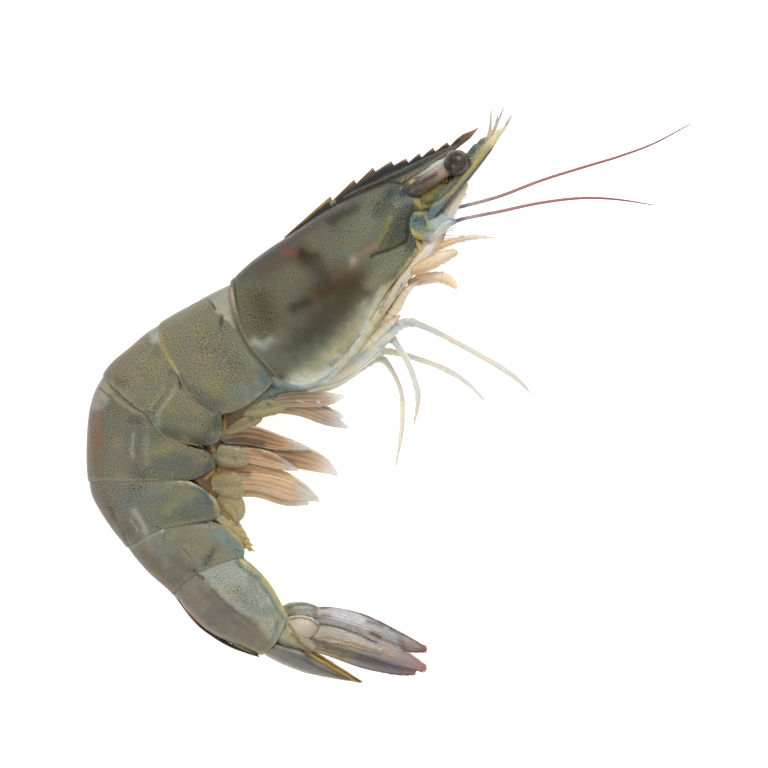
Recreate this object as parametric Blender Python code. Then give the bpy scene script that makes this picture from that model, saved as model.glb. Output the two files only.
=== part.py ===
"""A raw whiteleg shrimp lying on its left side on a table, in metres, with +Z up.

Its plane of symmetry lies level: the head points to +X +Y, the back to -X, and the tail
curls round towards +X. Outlines are (x, y) in millimetres in that plane, read from head to
tail or from root to tip. Heights are in millimetres above the table.
"""

import math

import bmesh
import bpy
from mathutils import Vector

MM = 0.001
UP = Vector((0, 0, 1))
SIDES = {"right": 1, "left": -1}

# Driving sizes, in millimetres
CARAPACE_HALF_WIDTH = 8.2
PRESSED = 0.35  # how far the soft left side is pressed flat against the table
GAP = 0.3  # left free between neighbouring pieces
SHELL_STEP = 0.35  # how far each shell ring stands out over the front of the next
EYE_RADIUS = 2.45
ROSTRUM_HALF_THICKNESS = 0.65
MID = CARAPACE_HALF_WIDTH - PRESSED  # height of the head's plane of symmetry

# Carapace: stations from its rear margin to the eye socket, at the back and at the lower edge
CARAPACE_BACK = [
    (-29.5, 21.8), (-25.9, 25.2), (-22.1, 28.0), (-18.3, 30.5), (-14.5, 33.2),
    (-10.7, 35.6), (-6.9, 37.5), (-3.1, 39.2), (0.7, 40.6), (3.3, 40.2),
]
CARAPACE_EDGE = [
    (-20.2, 2.6), (-16.4, 1.6), (-12.4, 2.8), (-8.8, 5.8), (-5.6, 9.6),
    (-3.1, 13.6), (-1.0, 17.8), (1.6, 21.6), (4.5, 24.8), (6.4, 28.0),
]
CARAPACE_HALF_WIDTHS = [7.6, 8.0, 8.2, 8.1, 7.8, 7.3, 6.7, 6.0, 5.2, 4.3]
CARAPACE_REAR_SWEEP = -0.62  # in stations: how far the rear margin bows backwards at mid depth
CARAPACE_FRONT_WAVE = 0.32  # in stations: a hollow at the eye, and a lobe below it
HEAD_CORE = [(1.0, 34.7, MID, 3.2, 3.4), (3.7, 35.4, MID, 4.0, 3.6), (6.4, 35.4, MID, 2.6, 2.2)]

# Abdomen: stations at every half segment, 0 behind the carapace and 6 at the tail fan
ABDOMEN_BACK = [
    (-29.5, 21.2), (-35.4, 18.1), (-42.7, 14.0), (-48.5, 9.4), (-53.7, 4.3), (-56.7, -4.1), (-56.9, -15.9),
    (-54.2, -22.7), (-49.7, -28.8), (-45.3, -33.9), (-40.8, -37.9), (-33.9, -45.1), (-24.4, -49.3),
]
ABDOMEN_BELLY = [
    (-20.6, 2.8), (-26.7, -1.4), (-31.3, -3.9), (-34.1, -6.4), (-35.4, -9.6), (-37.3, -12.6), (-38.1, -16.2),
    (-36.6, -20.2), (-33.5, -24.0), (-30.1, -27.5), (-27.1, -30.7), (-22.5, -35.8), (-18.9, -41.9),
]
ABDOMEN_HALF_WIDTHS = [7.4, 7.5, 7.5, 7.4, 7.2, 6.9, 6.6, 6.3, 5.9, 5.5, 5.1, 4.6, 3.9]
RING_SWEEPS = [0.2, 0.22, 0.1, 0.0, -0.12, -0.13, 0.05]  # bow of each ring joint, in segments
LOBE_DEPTHS = [0.8, 3.4, 4.9, 4.1, 4.1, 0.3]  # how far each side flap hangs below the belly
LOBE_SKEWS = [1.0, 0.9, 1.0, 1.2, 1.8, 1.0]  # above 1 the flap hangs lowest near its rear

# Section of the shell: an arch that stops at the side flaps, with a hollow belly between them
ARCH_SHARE = 0.76  # of the section's half that is arch
ARCH_ANGLE = 2.45  # radians from the back to the flap's edge
BELLY_HOLLOW = 0.1  # of the depth
SECTION_POINTS = 26
CARAPACE_RINGS = 17
SEGMENT_RINGS = 7
JOINT_SLACK = 0.025  # of a segment, left free on each side of a ring joint

# The blade on the head's midline: tips of its teeth, its point and its lower edge
CREST_START = (-19.5, 29.9)
TOOTH_TIPS = [
    (-10.7, 37.7), (-6.2, 40.9), (-2.6, 43.2), (0.9, 44.4), (3.7, 44.9),
    (6.2, 45.9), (8.8, 47.0), (11.5, 48.0),
]
TOOTH_HEIGHT = 0.95
ROSTRUM_TIP = [(13.2, 48.5), (14.5, 49.5), (16.1, 50.1), (17.6, 50.8)]
ROSTRUM_UNDERSIDE = [
    (16.1, 49.1), (12.1, 46.5), (8.3, 44.2), (4.5, 41.7), (1.0, 39.0), (-6.9, 35.6), (-14.5, 31.1), (-18.3, 28.2),
]

# Tail spike and fan: (x, y, height, half width in the plane, half width across it)
TELSON = [
    (-23.3, -47.8, 3.9, 1.35, 2.2), (-19.3, -49.5, 3.9, 1.85, 2.5), (-14.5, -51.4, 3.8, 1.7, 2.1),
    (-9.2, -53.3, 3.6, 1.05, 1.3), (-4.5, -54.8, 3.4, 0.12, 0.15),
]
FAN_STALKS = {
    "right": [(-19.9, -44.6, 5.4, 1.3, 1.2), (-18.0, -44.6, 5.5, 1.75, 1.5), (-15.5, -44.6, 5.5, 1.9, 1.5), (-13.4, -44.7, 5.4, 1.3, 1.0)],
    "left": [(-19.5, -41.5, 2.0, 1.3, 1.1), (-18.0, -41.1, 2.0, 1.5, 1.4), (-15.7, -40.9, 1.9, 1.5, 1.4), (-14.0, -41.3, 1.8, 1.2, 1.0)],
}
FAN_BLADES = {
    "uropod_exopod_right": [
        (-13.2, -45.1, 6.2, 0.9, 0.45), (-9.8, -45.9, 6.1, 1.7, 0.55), (-4.1, -47.6, 5.7, 1.9, 0.5),
        (2.6, -50.1, 5.2, 1.6, 0.4), (7.7, -52.3, 4.8, 0.5, 0.2),
    ],
    "uropod_endopod_right": [
        (-14.5, -47.6, 4.4, 0.8, 0.4), (-9.8, -48.5, 4.3, 1.5, 0.5), (-4.1, -50.4, 4.0, 1.7, 0.45),
        (1.6, -52.0, 3.7, 1.2, 0.35), (5.6, -52.7, 3.5, 0.4, 0.2),
    ],
    "uropod_exopod_left": [
        (-13.8, -41.7, 2.4, 0.9, 0.45), (-9.8, -42.3, 2.3, 1.9, 0.55), (-4.1, -44.2, 2.1, 2.2, 0.5),
        (2.6, -47.0, 1.8, 1.8, 0.4), (7.7, -48.5, 1.6, 0.5, 0.2),
    ],
    "uropod_endopod_left": [
        (-14.2, -44.7, 1.5, 0.8, 0.35), (-9.8, -45.5, 1.4, 1.4, 0.4), (-4.1, -47.6, 1.2, 1.6, 0.4),
        (1.0, -49.7, 1.0, 1.2, 0.3), (4.8, -51.2, 0.9, 0.4, 0.2),
    ],
}
FAN_TWIST = 0.35  # radians: the blades lie a little open, like a hand of cards

# Head limbs of the right side: (x, y, height, radius), mirrored for the left
EYE = (13.4, 44.0, MID + 5.3)
EYE_STALK = [(3.5, 38.3, MID + 2.0, 1.8), (6.6, 40.4, MID + 3.0, 1.85), (9.6, 42.3, MID + 4.3, 1.7), (12.3, 43.4, MID + 5.1, 1.9)]
ANTENNULE_STALK = [
    (7.1, 35.8, MID + 1.5, 1.25), (11.3, 39.2, MID + 1.5, 1.3), (14.5, 42.8, MID + 1.5, 1.25),
    (17.2, 46.1, MID + 1.4, 1.1), (19.5, 48.7, MID + 1.3, 0.65),
]
ANTENNULE_WHIPS = {
    "right": [
        [(19.3, 48.4, MID + 1.3, 0.5), (19.7, 50.6, MID + 1.5, 0.3), (19.9, 54.2, MID + 1.8, 0.08)],
        [(19.5, 48.4, MID + 1.3, 0.5), (20.8, 51.0, MID + 1.2, 0.3), (22.3, 54.6, MID + 1.3, 0.08)],
    ],
    "left": [
        [(19.5, 48.4, MID - 1.3, 0.5), (21.6, 49.7, MID - 1.6, 0.4), (22.7, 51.2, MID - 2.0, 0.3), (23.8, 53.1, MID - 2.4, 0.08)],
        [(19.5, 48.5, MID - 1.3, 0.5), (20.6, 50.8, MID - 1.2, 0.3), (21.2, 53.3, MID - 1.0, 0.08)],
    ],
}
ANTENNA_SCALE = [
    (7.3, 33.5, MID + 3.9, 0.6, 1.3), (10.9, 36.4, MID + 4.2, 0.95, 2.0), (15.1, 40.8, MID + 4.2, 1.0, 2.1),
    (18.9, 45.7, MID + 3.9, 0.8, 1.7), (21.0, 48.7, MID + 3.6, 0.55, 1.1), (22.7, 51.2, MID + 3.3, 0.12, 0.2),
]
ANTENNA_ROOT = [(4.1, 32.0, MID + 3.0, 1.6, 1.7), (6.4, 32.2, MID + 3.4, 2.2, 1.9), (8.6, 32.8, MID + 3.4, 1.6, 1.5)]
ANTENNA_STALKS = {
    "right": [(9.0, 29.9, 12.2, 1.3), (10.9, 31.4, 12.0, 1.15), (12.8, 33.0, 11.6, 0.95), (14.5, 33.5, 11.0, 0.6)],
    "left": [(9.8, 31.6, 4.6, 1.3), (11.3, 33.7, 4.7, 1.1), (13.0, 35.1, 4.8, 0.9), (14.5, 35.6, 4.9, 0.6)],
}
ANTENNAE = {
    "right": [
        (15.1, 33.5, 10.8, 0.34), (21.6, 34.8, 9.8, 0.34), (29.2, 36.4, 8.0, 0.31), (36.8, 37.3, 5.7, 0.27),
        (43.4, 37.1, 3.3, 0.21), (50.8, 36.0, 0.9, 0.09),
    ],
    "left": [
        (15.1, 35.8, 5.0, 0.34), (21.6, 37.7, 5.0, 0.34), (29.2, 40.6, 4.6, 0.32), (36.8, 43.0, 3.8, 0.29),
        (44.4, 45.3, 2.6, 0.25), (51.0, 47.8, 1.4, 0.18), (57.7, 51.4, 0.5, 0.09),
    ],
}
MOUTH_LEG = [
    (-3.9, 11.5, MID + 2.6, 1.0), (-1.2, 15.7, MID + 3.2, 1.05), (2.9, 21.6, MID + 3.0, 1.0), (7.1, 26.9, MID + 2.4, 0.95),
    (10.7, 31.6, MID + 1.7, 0.9), (14.0, 36.6, MID + 1.5, 0.8), (15.9, 39.8, MID + 1.4, 0.25),
]
MOUTH_PALPS = {
    "palp_long": [
        (4.8, 24.4, MID + 1.3, 0.7, 0.4), (9.0, 27.6, MID + 1.0, 0.7, 0.4), (13.0, 29.2, MID + 0.8, 0.5, 0.3),
        (16.8, 29.9, MID + 0.6, 0.3, 0.2), (20.6, 29.9, MID + 0.5, 0.1, 0.1),
    ],
    "palp_broad": [
        (4.8, 23.3, MID + 4.2, 0.7, 0.45), (7.9, 25.0, MID + 4.2, 0.9, 0.45), (10.7, 26.3, MID + 4.1, 0.85, 0.4),
        (13.8, 27.3, MID + 3.9, 0.35, 0.25),
    ],
    "palp_hooked": [
        (4.1, 20.8, MID + 1.4, 0.6, 0.45), (6.7, 22.1, MID + 1.5, 0.75, 0.45), (10.0, 22.7, MID + 1.6, 0.7, 0.4),
        (12.1, 21.8, MID + 1.7, 0.6, 0.35), (13.4, 20.2, MID + 1.7, 0.25, 0.2),
    ],
}

# Walking legs: (x, y, height, radius)
LEGS = {
    "leg_1_right": [(-2.4, 10.7, 10.4, 0.7), (0.7, 14.9, 10.4, 0.75), (3.3, 19.1, 10.1, 0.7), (6.2, 21.9, 9.7, 0.3)],
    "leg_1_left": [(-2.4, 10.7, 5.2, 0.7), (0.7, 14.9, 5.0, 0.75), (3.3, 19.1, 4.6, 0.7), (6.4, 22.1, 4.0, 0.3)],
    "leg_2_right": [(-4.3, 8.8, 9.8, 0.75), (-0.5, 13.0, 9.3, 0.8), (2.2, 16.8, 8.7, 0.75), (4.1, 19.7, 8.0, 0.3)],
    "leg_2_left": [(-4.3, 8.8, 5.8, 0.75), (-0.5, 13.0, 6.2, 0.8), (2.2, 16.8, 6.6, 0.75), (4.3, 19.9, 6.4, 0.3)],
    "leg_3_right": [(-6.6, 6.9, 10.6, 0.8), (-2.8, 10.0, 11.2, 0.85), (0.3, 13.0, 11.4, 0.75), (2.4, 14.9, 11.4, 0.3)],
    "leg_3_left": [(-6.6, 6.9, 4.6, 0.8), (-2.8, 10.0, 3.4, 0.85), (0.3, 12.8, 2.8, 0.75), (2.6, 15.1, 2.4, 0.3)],
    "leg_4_right": [
        (-12.3, 2.4, 10.4, 1.1), (-6.6, 5.4, 11.4, 1.1), (-0.5, 10.5, 11.0, 0.95), (3.5, 13.6, 10.4, 0.85),
        (7.9, 12.6, 9.2, 0.65), (14.9, 9.0, 7.0, 0.6), (21.6, 5.2, 4.6, 0.6), (25.2, 2.6, 3.0, 0.45), (27.5, 0.1, 1.6, 0.12),
    ],
    "leg_5_right": [
        (-15.3, 1.0, 9.6, 1.1), (-8.8, 3.1, 9.6, 1.0), (-2.8, 7.7, 9.2, 0.9), (0.5, 10.7, 9.0, 0.8),
        (2.9, 8.1, 7.6, 0.65), (4.8, 4.3, 6.0, 0.6), (6.0, -0.5, 3.8, 0.55), (5.2, -5.8, 1.6, 0.12),
    ],
    "leg_4_left": [
        (-12.3, 2.2, 5.0, 1.0), (-6.9, 4.5, 5.0, 0.95), (-2.0, 7.7, 4.8, 0.75), (1.0, 8.1, 4.6, 0.65),
        (6.4, 6.6, 4.0, 0.6), (11.1, 4.8, 3.0, 0.6), (15.3, 2.2, 1.8, 0.45), (18.9, -1.4, 0.6, 0.12),
    ],
    "leg_5_left": [
        (-15.3, 0.5, 3.0, 1.0), (-9.6, 2.2, 2.6, 0.95), (-3.9, 5.8, 2.2, 0.8), (-0.9, 6.7, 2.0, 0.7),
        (1.4, 3.9, 1.8, 0.5), (2.9, -0.3, 1.5, 0.5), (2.9, -6.4, 1.1, 0.5), (1.8, -13.6, 0.5, 0.12),
    ],
}

# Swimming legs: a stout stalk and its blades, (x, y, half width) of the right side
SWIMMER_STALKS = [
    [(-27.3, -1.0, 1.6), (-24.8, -2.0, 2.1), (-21.8, -2.0, 1.9), (-18.9, -1.4, 1.2)],
    [(-32.8, -5.6, 1.4), (-30.1, -6.2, 1.9), (-27.5, -6.4, 1.8), (-25.2, -6.0, 0.9)],
    [(-34.3, -11.7, 1.4), (-32.0, -12.1, 2.0), (-29.0, -12.1, 2.1), (-26.5, -11.9, 1.4)],
    [(-34.7, -17.4, 1.3), (-32.4, -17.4, 1.8), (-29.5, -16.6, 1.7), (-26.5, -16.2, 1.2)],
    [(-33.2, -20.6, 1.4), (-31.3, -21.0, 1.9), (-29.4, -20.6, 1.8), (-27.5, -19.9, 0.8)],
]
SWIMMER_BLADES = [
    [
        [(-20.2, -0.7, 0.8), (-16.4, -0.7, 1.05), (-11.7, -0.9, 0.95), (-7.5, -0.3, 0.15)],
        [(-20.2, -2.0, 0.8), (-15.7, -2.9, 1.0), (-11.1, -4.7, 0.95), (-7.3, -6.4, 0.2)],
    ],
    [
        [(-27.8, -7.1, 1.0), (-22.9, -8.3, 1.1), (-18.3, -9.6, 0.8), (-14.2, -10.5, 0.12)],
        [(-28.6, -8.5, 1.1), (-22.9, -10.0, 1.9), (-17.6, -11.7, 1.8), (-13.0, -13.0, 1.2), (-9.2, -14.9, 0.2)],
    ],
    [
        [(-27.8, -11.3, 0.9), (-23.7, -12.3, 1.2), (-19.9, -13.2, 0.8), (-16.8, -14.3, 0.15)],
        [(-28.2, -13.2, 1.0), (-23.3, -14.5, 1.5), (-18.0, -17.0, 1.4), (-13.0, -20.0, 0.2)],
    ],
    [
        [(-28.2, -16.2, 1.1), (-23.3, -16.8, 1.3), (-18.3, -18.3, 1.5), (-12.6, -20.2, 0.15)],
        [(-28.2, -18.0, 1.1), (-23.7, -18.3, 1.2), (-19.1, -19.7, 1.2), (-14.7, -20.6, 0.2)],
    ],
    [
        [(-29.0, -20.4, 1.0), (-28.4, -21.9, 1.0), (-28.6, -23.5, 0.7), (-29.2, -24.8, 0.15)],
        [(-30.5, -21.0, 1.0), (-29.9, -22.5, 1.1), (-29.5, -24.0, 0.7), (-29.2, -25.6, 0.15)],
    ],
]
BLADE_HALF_THICKNESS = 0.38
SWIMMER_OFFSET = 2.5  # of a stalk from the plane of symmetry
LEFT_LAG = 1.3  # how far the first left swimmer's upper blade hangs behind, per point

COLOURS = {
    "shell": (0.24, 0.23, 0.17),
    "fan": (0.30, 0.26, 0.24),
    "flesh": (0.50, 0.33, 0.20),
    "leg": (0.56, 0.52, 0.40),
    "eye": (0.03, 0.022, 0.02),
    "whip": (0.42, 0.22, 0.19),
}


def clear_scene():
    for old in list(bpy.data.objects):
        bpy.data.objects.remove(old)


def new_collection(name):
    collection = bpy.data.collections.new(name)
    bpy.context.scene.collection.children.link(collection)
    return collection


clear_scene()
SHRIMP = new_collection("whiteleg_shrimp")
CUTTERS = new_collection("cutters")
TAKEN = []  # grown copies of the pieces made so far, which trim the pieces that follow


def material(name):
    """The named piece colour as a Principled BSDF, made once."""
    found = bpy.data.materials.get(name)
    if found:
        return found
    made = bpy.data.materials.new(name)
    made.use_nodes = True
    bsdf = made.node_tree.nodes["Principled BSDF"]
    bsdf.inputs["Base Color"].default_value = (*COLOURS[name], 1)
    bsdf.inputs["Roughness"].default_value = 0.35
    bsdf.inputs["Metallic"].default_value = 0.0
    return made


def curve_at(points, t):
    """The smooth curve through the points, at t counted in points from 0."""
    last = len(points) - 1
    k = min(max(int(math.floor(t)), 0), last - 1)
    u = t - k
    a, b = points[k], points[k + 1]
    before = points[k - 1] if k > 0 else [2 * p - q for p, q in zip(a, b)]
    after = points[k + 2] if k + 2 <= last else [2 * q - p for p, q in zip(a, b)]
    return [
        0.5 * (2 * q + (r - p) * u + (2 * p - 5 * q + 4 * r - s) * u * u + (3 * q - p - 3 * r + s) * u ** 3)
        for p, q, r, s in zip(before, a, b, after)
    ]


def value_at(values, t):
    return curve_at([(value,) for value in values], t)[0]


def smoothed(points, steps):
    """Points along the smooth curve, with so many steps between each pair."""
    count = (len(points) - 1) * steps
    return [curve_at(points, k / steps) for k in range(count + 1)]


def bow(v):
    """How far along its bow a ring joint is at depth v: nothing at the back and belly."""
    return math.sin(math.pi * min(max(v, 0), 1)) ** 0.7


def section(a):
    """Depth, width and flap shares of the shell's section at a, from 0 at the back to 1 or -1."""
    a = abs(a)
    flap_width = math.sin(ARCH_ANGLE) ** 0.75
    if a <= ARCH_SHARE:
        angle = ARCH_ANGLE * a / ARCH_SHARE
        depth = (1 - math.cos(angle)) / (1 - math.cos(ARCH_ANGLE))
        return depth, math.sin(angle) ** 0.75, depth ** 2
    u = (a - ARCH_SHARE) / (1 - ARCH_SHARE)
    hollow = math.sin(u * math.pi / 2)
    return 1 - BELLY_HOLLOW * hollow, flap_width * (1 - u), 1 - hollow


def section_point(back, belly, half_width, mid, a, flap=0.0, grow=0.0):
    """A point of the section between a back point and a belly point, in millimetres."""
    back, belly = Vector((*back, mid)), Vector((*belly, mid))
    depth = (belly - back).length
    down = (belly - back) / depth
    depth_share, width_share, flap_share = section(a)
    drop = (depth_share - 0.5) * (depth + 2 * grow) + 0.5 * depth + flap * flap_share
    spread = width_share if abs(a) <= ARCH_SHARE else -0.6  # the hollow's sides grow inwards
    aside = max(width_share * half_width + spread * grow, 0)
    return back + down * drop + UP * math.copysign(aside, a)


def carapace_point(c, a, grow=0.0):
    back, edge = curve_at(CARAPACE_BACK, c), curve_at(CARAPACE_EDGE, c)
    return section_point(back, edge, value_at(CARAPACE_HALF_WIDTHS, c), MID, a, grow=grow)


def abdomen_point(t, a, grow=0.0):
    back, belly = curve_at(ABDOMEN_BACK, 2 * t), curve_at(ABDOMEN_BELLY, 2 * t)
    half_width = value_at(ABDOMEN_HALF_WIDTHS, 2 * t)
    segment = min(max(int(math.floor(t)), 0), 5)
    along = min(max(t - segment, 0), 1) ** LOBE_SKEWS[segment]
    lobe = LOBE_DEPTHS[segment] * max(math.sin(math.pi * along), 0) ** 0.8
    return section_point(back, belly, half_width, half_width - PRESSED, a, lobe, grow)


def section_steps():
    return [-1 + 2 * j / SECTION_POINTS for j in range(SECTION_POINTS)]


def carapace_rings(grow=0.0):
    """Rings of the head shell, from its bowed rear margin to the scalloped one round the eyes."""
    last = len(CARAPACE_BACK) - 1
    rings = []
    for k in range(CARAPACE_RINGS + 1):
        ring = []
        for a in section_steps():
            v = section(a)[0]
            rear = CARAPACE_REAR_SWEEP * bow(v) - grow * 0.3
            front = last + CARAPACE_FRONT_WAVE * math.sin(2 * math.pi * v) + grow * 0.3
            ring.append(carapace_point(rear + (front - rear) * k / CARAPACE_RINGS, a, grow))
        rings.append(ring)
    return rings


def segment_rings(index, grow=0.0):
    """Rings of one abdominal segment, from one bowed joint to the next."""
    rings = []
    for k in range(SEGMENT_RINGS + 1):
        u = k / SEGMENT_RINGS
        step = SHELL_STEP * max(1 - u * 4, 0)
        ring = []
        for a in section_steps():
            v = section(a)[0]
            front = index + RING_SWEEPS[index] * bow(v) + JOINT_SLACK - grow * 0.14
            rear = index + 1 + RING_SWEEPS[index + 1] * bow(v) - JOINT_SLACK + grow * 0.14
            ring.append(abdomen_point(front + (rear - front) * u, a, grow - step))
        rings.append(ring)
    return rings


def add_object(name, data, collection, colour):
    made = bpy.data.objects.new(name, data)
    collection.objects.link(made)
    if colour:
        data.materials.append(material(colour))
    return made


def move_to(obj, collection):
    for holder in list(obj.users_collection):
        holder.objects.unlink(obj)
    collection.objects.link(obj)


def add_loft(name, rings, collection, colour):
    """A closed mesh through rings of points in millimetres, each end closed by a fan."""
    mesh = bmesh.new()
    rows = [[mesh.verts.new(p * MM) for p in ring] for ring in rings]
    count = len(rows[0])
    for low, high in zip(rows, rows[1:]):
        for j in range(count):
            k = (j + 1) % count
            mesh.faces.new((low[j], low[k], high[k], high[j]))
    for row in (rows[0], rows[-1]):
        centre = mesh.verts.new(sum((v.co for v in row), Vector()) / count)
        for j in range(count):
            mesh.faces.new((row[j], row[(j + 1) % count], centre))
    bmesh.ops.recalc_face_normals(mesh, faces=mesh.faces)
    data = bpy.data.meshes.new(name)
    mesh.to_mesh(data)
    mesh.free()
    return add_object(name, data, collection, colour)


def add_tube(name, points, collection, colour, steps=2, resolution=1):
    """A round limb as a bevelled curve through (x, y, height, radius) points."""
    data = bpy.data.curves.new(name, "CURVE")
    data.dimensions = "3D"
    data.bevel_depth = MM
    data.bevel_resolution = resolution
    data.use_fill_caps = True
    spline = data.splines.new("POLY")
    samples = smoothed(points, steps)
    spline.points.add(len(samples) - 1)
    for point, (x, y, z, radius) in zip(spline.points, samples):
        point.co = (x * MM, y * MM, z * MM, 1)
        point.radius = radius
    return as_mesh(add_object(name, data, collection, colour))


def add_blade(name, points, collection, colour, steps=2, sides=8, twist=0.0):
    """A flat limb: ellipses along (x, y, height, half width in the plane, half width across it)."""
    samples = smoothed(points, steps)
    centres = [Vector(sample[:3]) for sample in samples]
    rings = []
    for k, (_, _, _, wide, thick) in enumerate(samples):
        ahead = centres[min(k + 1, len(centres) - 1)] - centres[max(k - 1, 0)]
        aside = ahead.cross(UP).normalized()
        top = aside.cross(ahead).normalized()
        across = aside * math.cos(twist) + top * math.sin(twist)
        normal = top * math.cos(twist) - aside * math.sin(twist)
        angles = [2 * math.pi * j / sides for j in range(sides)]
        rings.append([centres[k] + across * wide * math.cos(b) + normal * thick * math.sin(b) for b in angles])
    return add_loft(name, rings, collection, colour)


def add_ball(name, centre, radius, collection, colour):
    bpy.ops.mesh.primitive_uv_sphere_add(
        segments=14, ring_count=9, radius=radius * MM, location=[c * MM for c in centre]
    )
    ball = bpy.context.object
    ball.name = name
    move_to(ball, collection)
    if colour:
        ball.data.materials.append(material(colour))
    return ball


def add_crest(name, collection, colour):
    """The toothed blade on the midline: each tooth leans forward and drops to its notch."""
    outline = [CREST_START]
    for x, y in TOOTH_TIPS:
        outline.append((x, y))
        outline.append((x + 0.25, y - TOOTH_HEIGHT))
    outline.extend(ROSTRUM_TIP)
    outline.extend(ROSTRUM_UNDERSIDE)
    data = bpy.data.curves.new(name, "CURVE")
    data.dimensions = "2D"
    data.fill_mode = "BOTH"
    data.extrude = ROSTRUM_HALF_THICKNESS * MM
    spline = data.splines.new("POLY")
    spline.points.add(len(outline) - 1)
    for point, (x, y) in zip(spline.points, outline):
        point.co = (x * MM, y * MM, 0, 1)
    spline.use_cyclic_u = True
    crest = as_mesh(add_object(name, data, collection, colour))
    crest.location.z = MID * MM
    return crest


def as_mesh(curve):
    """A curve made a mesh object of the same name, with its caps welded on."""
    bpy.context.view_layer.update()
    graph = bpy.context.evaluated_depsgraph_get()
    data = bpy.data.meshes.new_from_object(curve.evaluated_get(graph))
    mesh = bmesh.new()
    mesh.from_mesh(data)
    bmesh.ops.remove_doubles(mesh, verts=mesh.verts, dist=1e-6)
    mesh.to_mesh(data)
    mesh.free()
    name, collection = curve.name, curve.users_collection[0]
    bpy.data.objects.remove(curve)
    return add_object(name, data, collection, None)


def box_of(obj):
    corners = [obj.matrix_world @ Vector(c) for c in obj.bound_box]
    return [[pick(c[k] for c in corners) for k in range(3)] for pick in (min, max)]


def boxes_meet(one, other):
    (low, high), (other_low, other_high) = one, other
    return all(low[k] <= other_high[k] and other_low[k] <= high[k] for k in range(3))


def fused(pieces, cutters):
    """The pieces joined into the first by Boolean unions and trimmed by the cutters, as one body."""
    first = pieces[0]
    bpy.context.view_layer.update()
    boxes = [box_of(piece) for piece in pieces]
    cutters = [cutter for cutter in cutters if any(boxes_meet(box_of(cutter), box) for box in boxes)]
    for operation, others in (("UNION", pieces[1:]), ("DIFFERENCE", cutters)):
        for other in others:
            boolean = first.modifiers.new(f"{operation.lower()} {other.name}", "BOOLEAN")
            boolean.operation = operation
            boolean.solver = "EXACT"
            boolean.object = other
    bpy.context.view_layer.update()
    graph = bpy.context.evaluated_depsgraph_get()
    data = bpy.data.meshes.new_from_object(first.evaluated_get(graph))
    first.modifiers.clear()
    first.data = data
    for piece in pieces[1:]:
        bpy.data.objects.remove(piece)
    keep_largest(data)
    return first


def keep_largest(data):
    """Drops the loose scraps that a cut leaves, and keeps the largest body."""
    mesh = bmesh.new()
    mesh.from_mesh(data)
    left = set(mesh.verts)
    bodies = []
    while left:
        body, front = set(), [left.pop()]
        while front:
            vert = front.pop()
            body.add(vert)
            near = {edge.other_vert(vert) for edge in vert.link_edges} & left
            left -= near
            front.extend(near)
        bodies.append(body)
    largest = max(bodies, key=len)
    scraps = [vert for body in bodies if body is not largest for vert in body]
    bmesh.ops.delete(mesh, geom=scraps, context="VERTS")
    mesh.to_mesh(data)
    mesh.free()


def take(cutter):
    """Adds a hidden cutter to those that trim the pieces that follow."""
    cutter.hide_render = True
    cutter.display_type = "WIRE"
    TAKEN.append(cutter)


def grown(points):
    return [(x, y, z, *(size + GAP for size in sizes)) for x, y, z, *sizes in points]


def mirrored(points, side):
    """The right limb's points, or their mirror image in the plane of symmetry, kept off the table."""
    if side > 0:
        return points
    return [(x, y, max(2 * MID - z, sizes[-1] + 0.15), *sizes) for x, y, z, *sizes in points]


def add_limb(name, shapes, colour, **options):
    """A limb of one or more (maker, points) shapes fused together, clear of all that is taken."""
    pieces = [make(f"{name}_{k}", points, SHRIMP, colour, **options) for k, (make, points) in enumerate(shapes)]
    limb = fused(pieces, TAKEN)
    limb.name = name
    for k, (make, points) in enumerate(shapes):
        take(make(f"trim_{name}_{k}", grown(points), CUTTERS, None, **options))


def add_table():
    """The slab that presses the soft left side flat."""
    bpy.ops.mesh.primitive_cube_add(size=1, location=(0, 0, -0.01))
    table = bpy.context.object
    table.name = "table"
    table.scale = (0.3, 0.3, 0.02)
    move_to(table, CUTTERS)
    take(table)


def add_body():
    core = add_blade("head_core", HEAD_CORE, SHRIMP, "shell", sides=12)
    crest = add_crest("crest", SHRIMP, "shell")
    fused([add_loft("carapace", carapace_rings(), SHRIMP, "shell"), crest, core], TAKEN)
    take(add_loft("trim_carapace", carapace_rings(GAP), CUTTERS, None))
    take(add_blade("trim_head_core", grown(HEAD_CORE), CUTTERS, None, sides=12))
    for index in range(6):
        segment = add_loft(f"abdomen_segment_{index + 1}", segment_rings(index), SHRIMP, "shell")
        fused([segment], TAKEN[:2])
    for index in range(6):
        take(add_loft(f"trim_segment_{index + 1}", segment_rings(index, GAP), CUTTERS, None))


def add_tail_fan():
    add_limb("telson", [(add_blade, TELSON)], "fan", sides=12)
    for name in SIDES:
        add_limb(f"uropod_stalk_{name}", [(add_blade, FAN_STALKS[name])], "flesh", sides=10)
    for name, points in FAN_BLADES.items():
        add_limb(name, [(add_blade, points)], "fan", sides=10, twist=FAN_TWIST)


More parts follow.
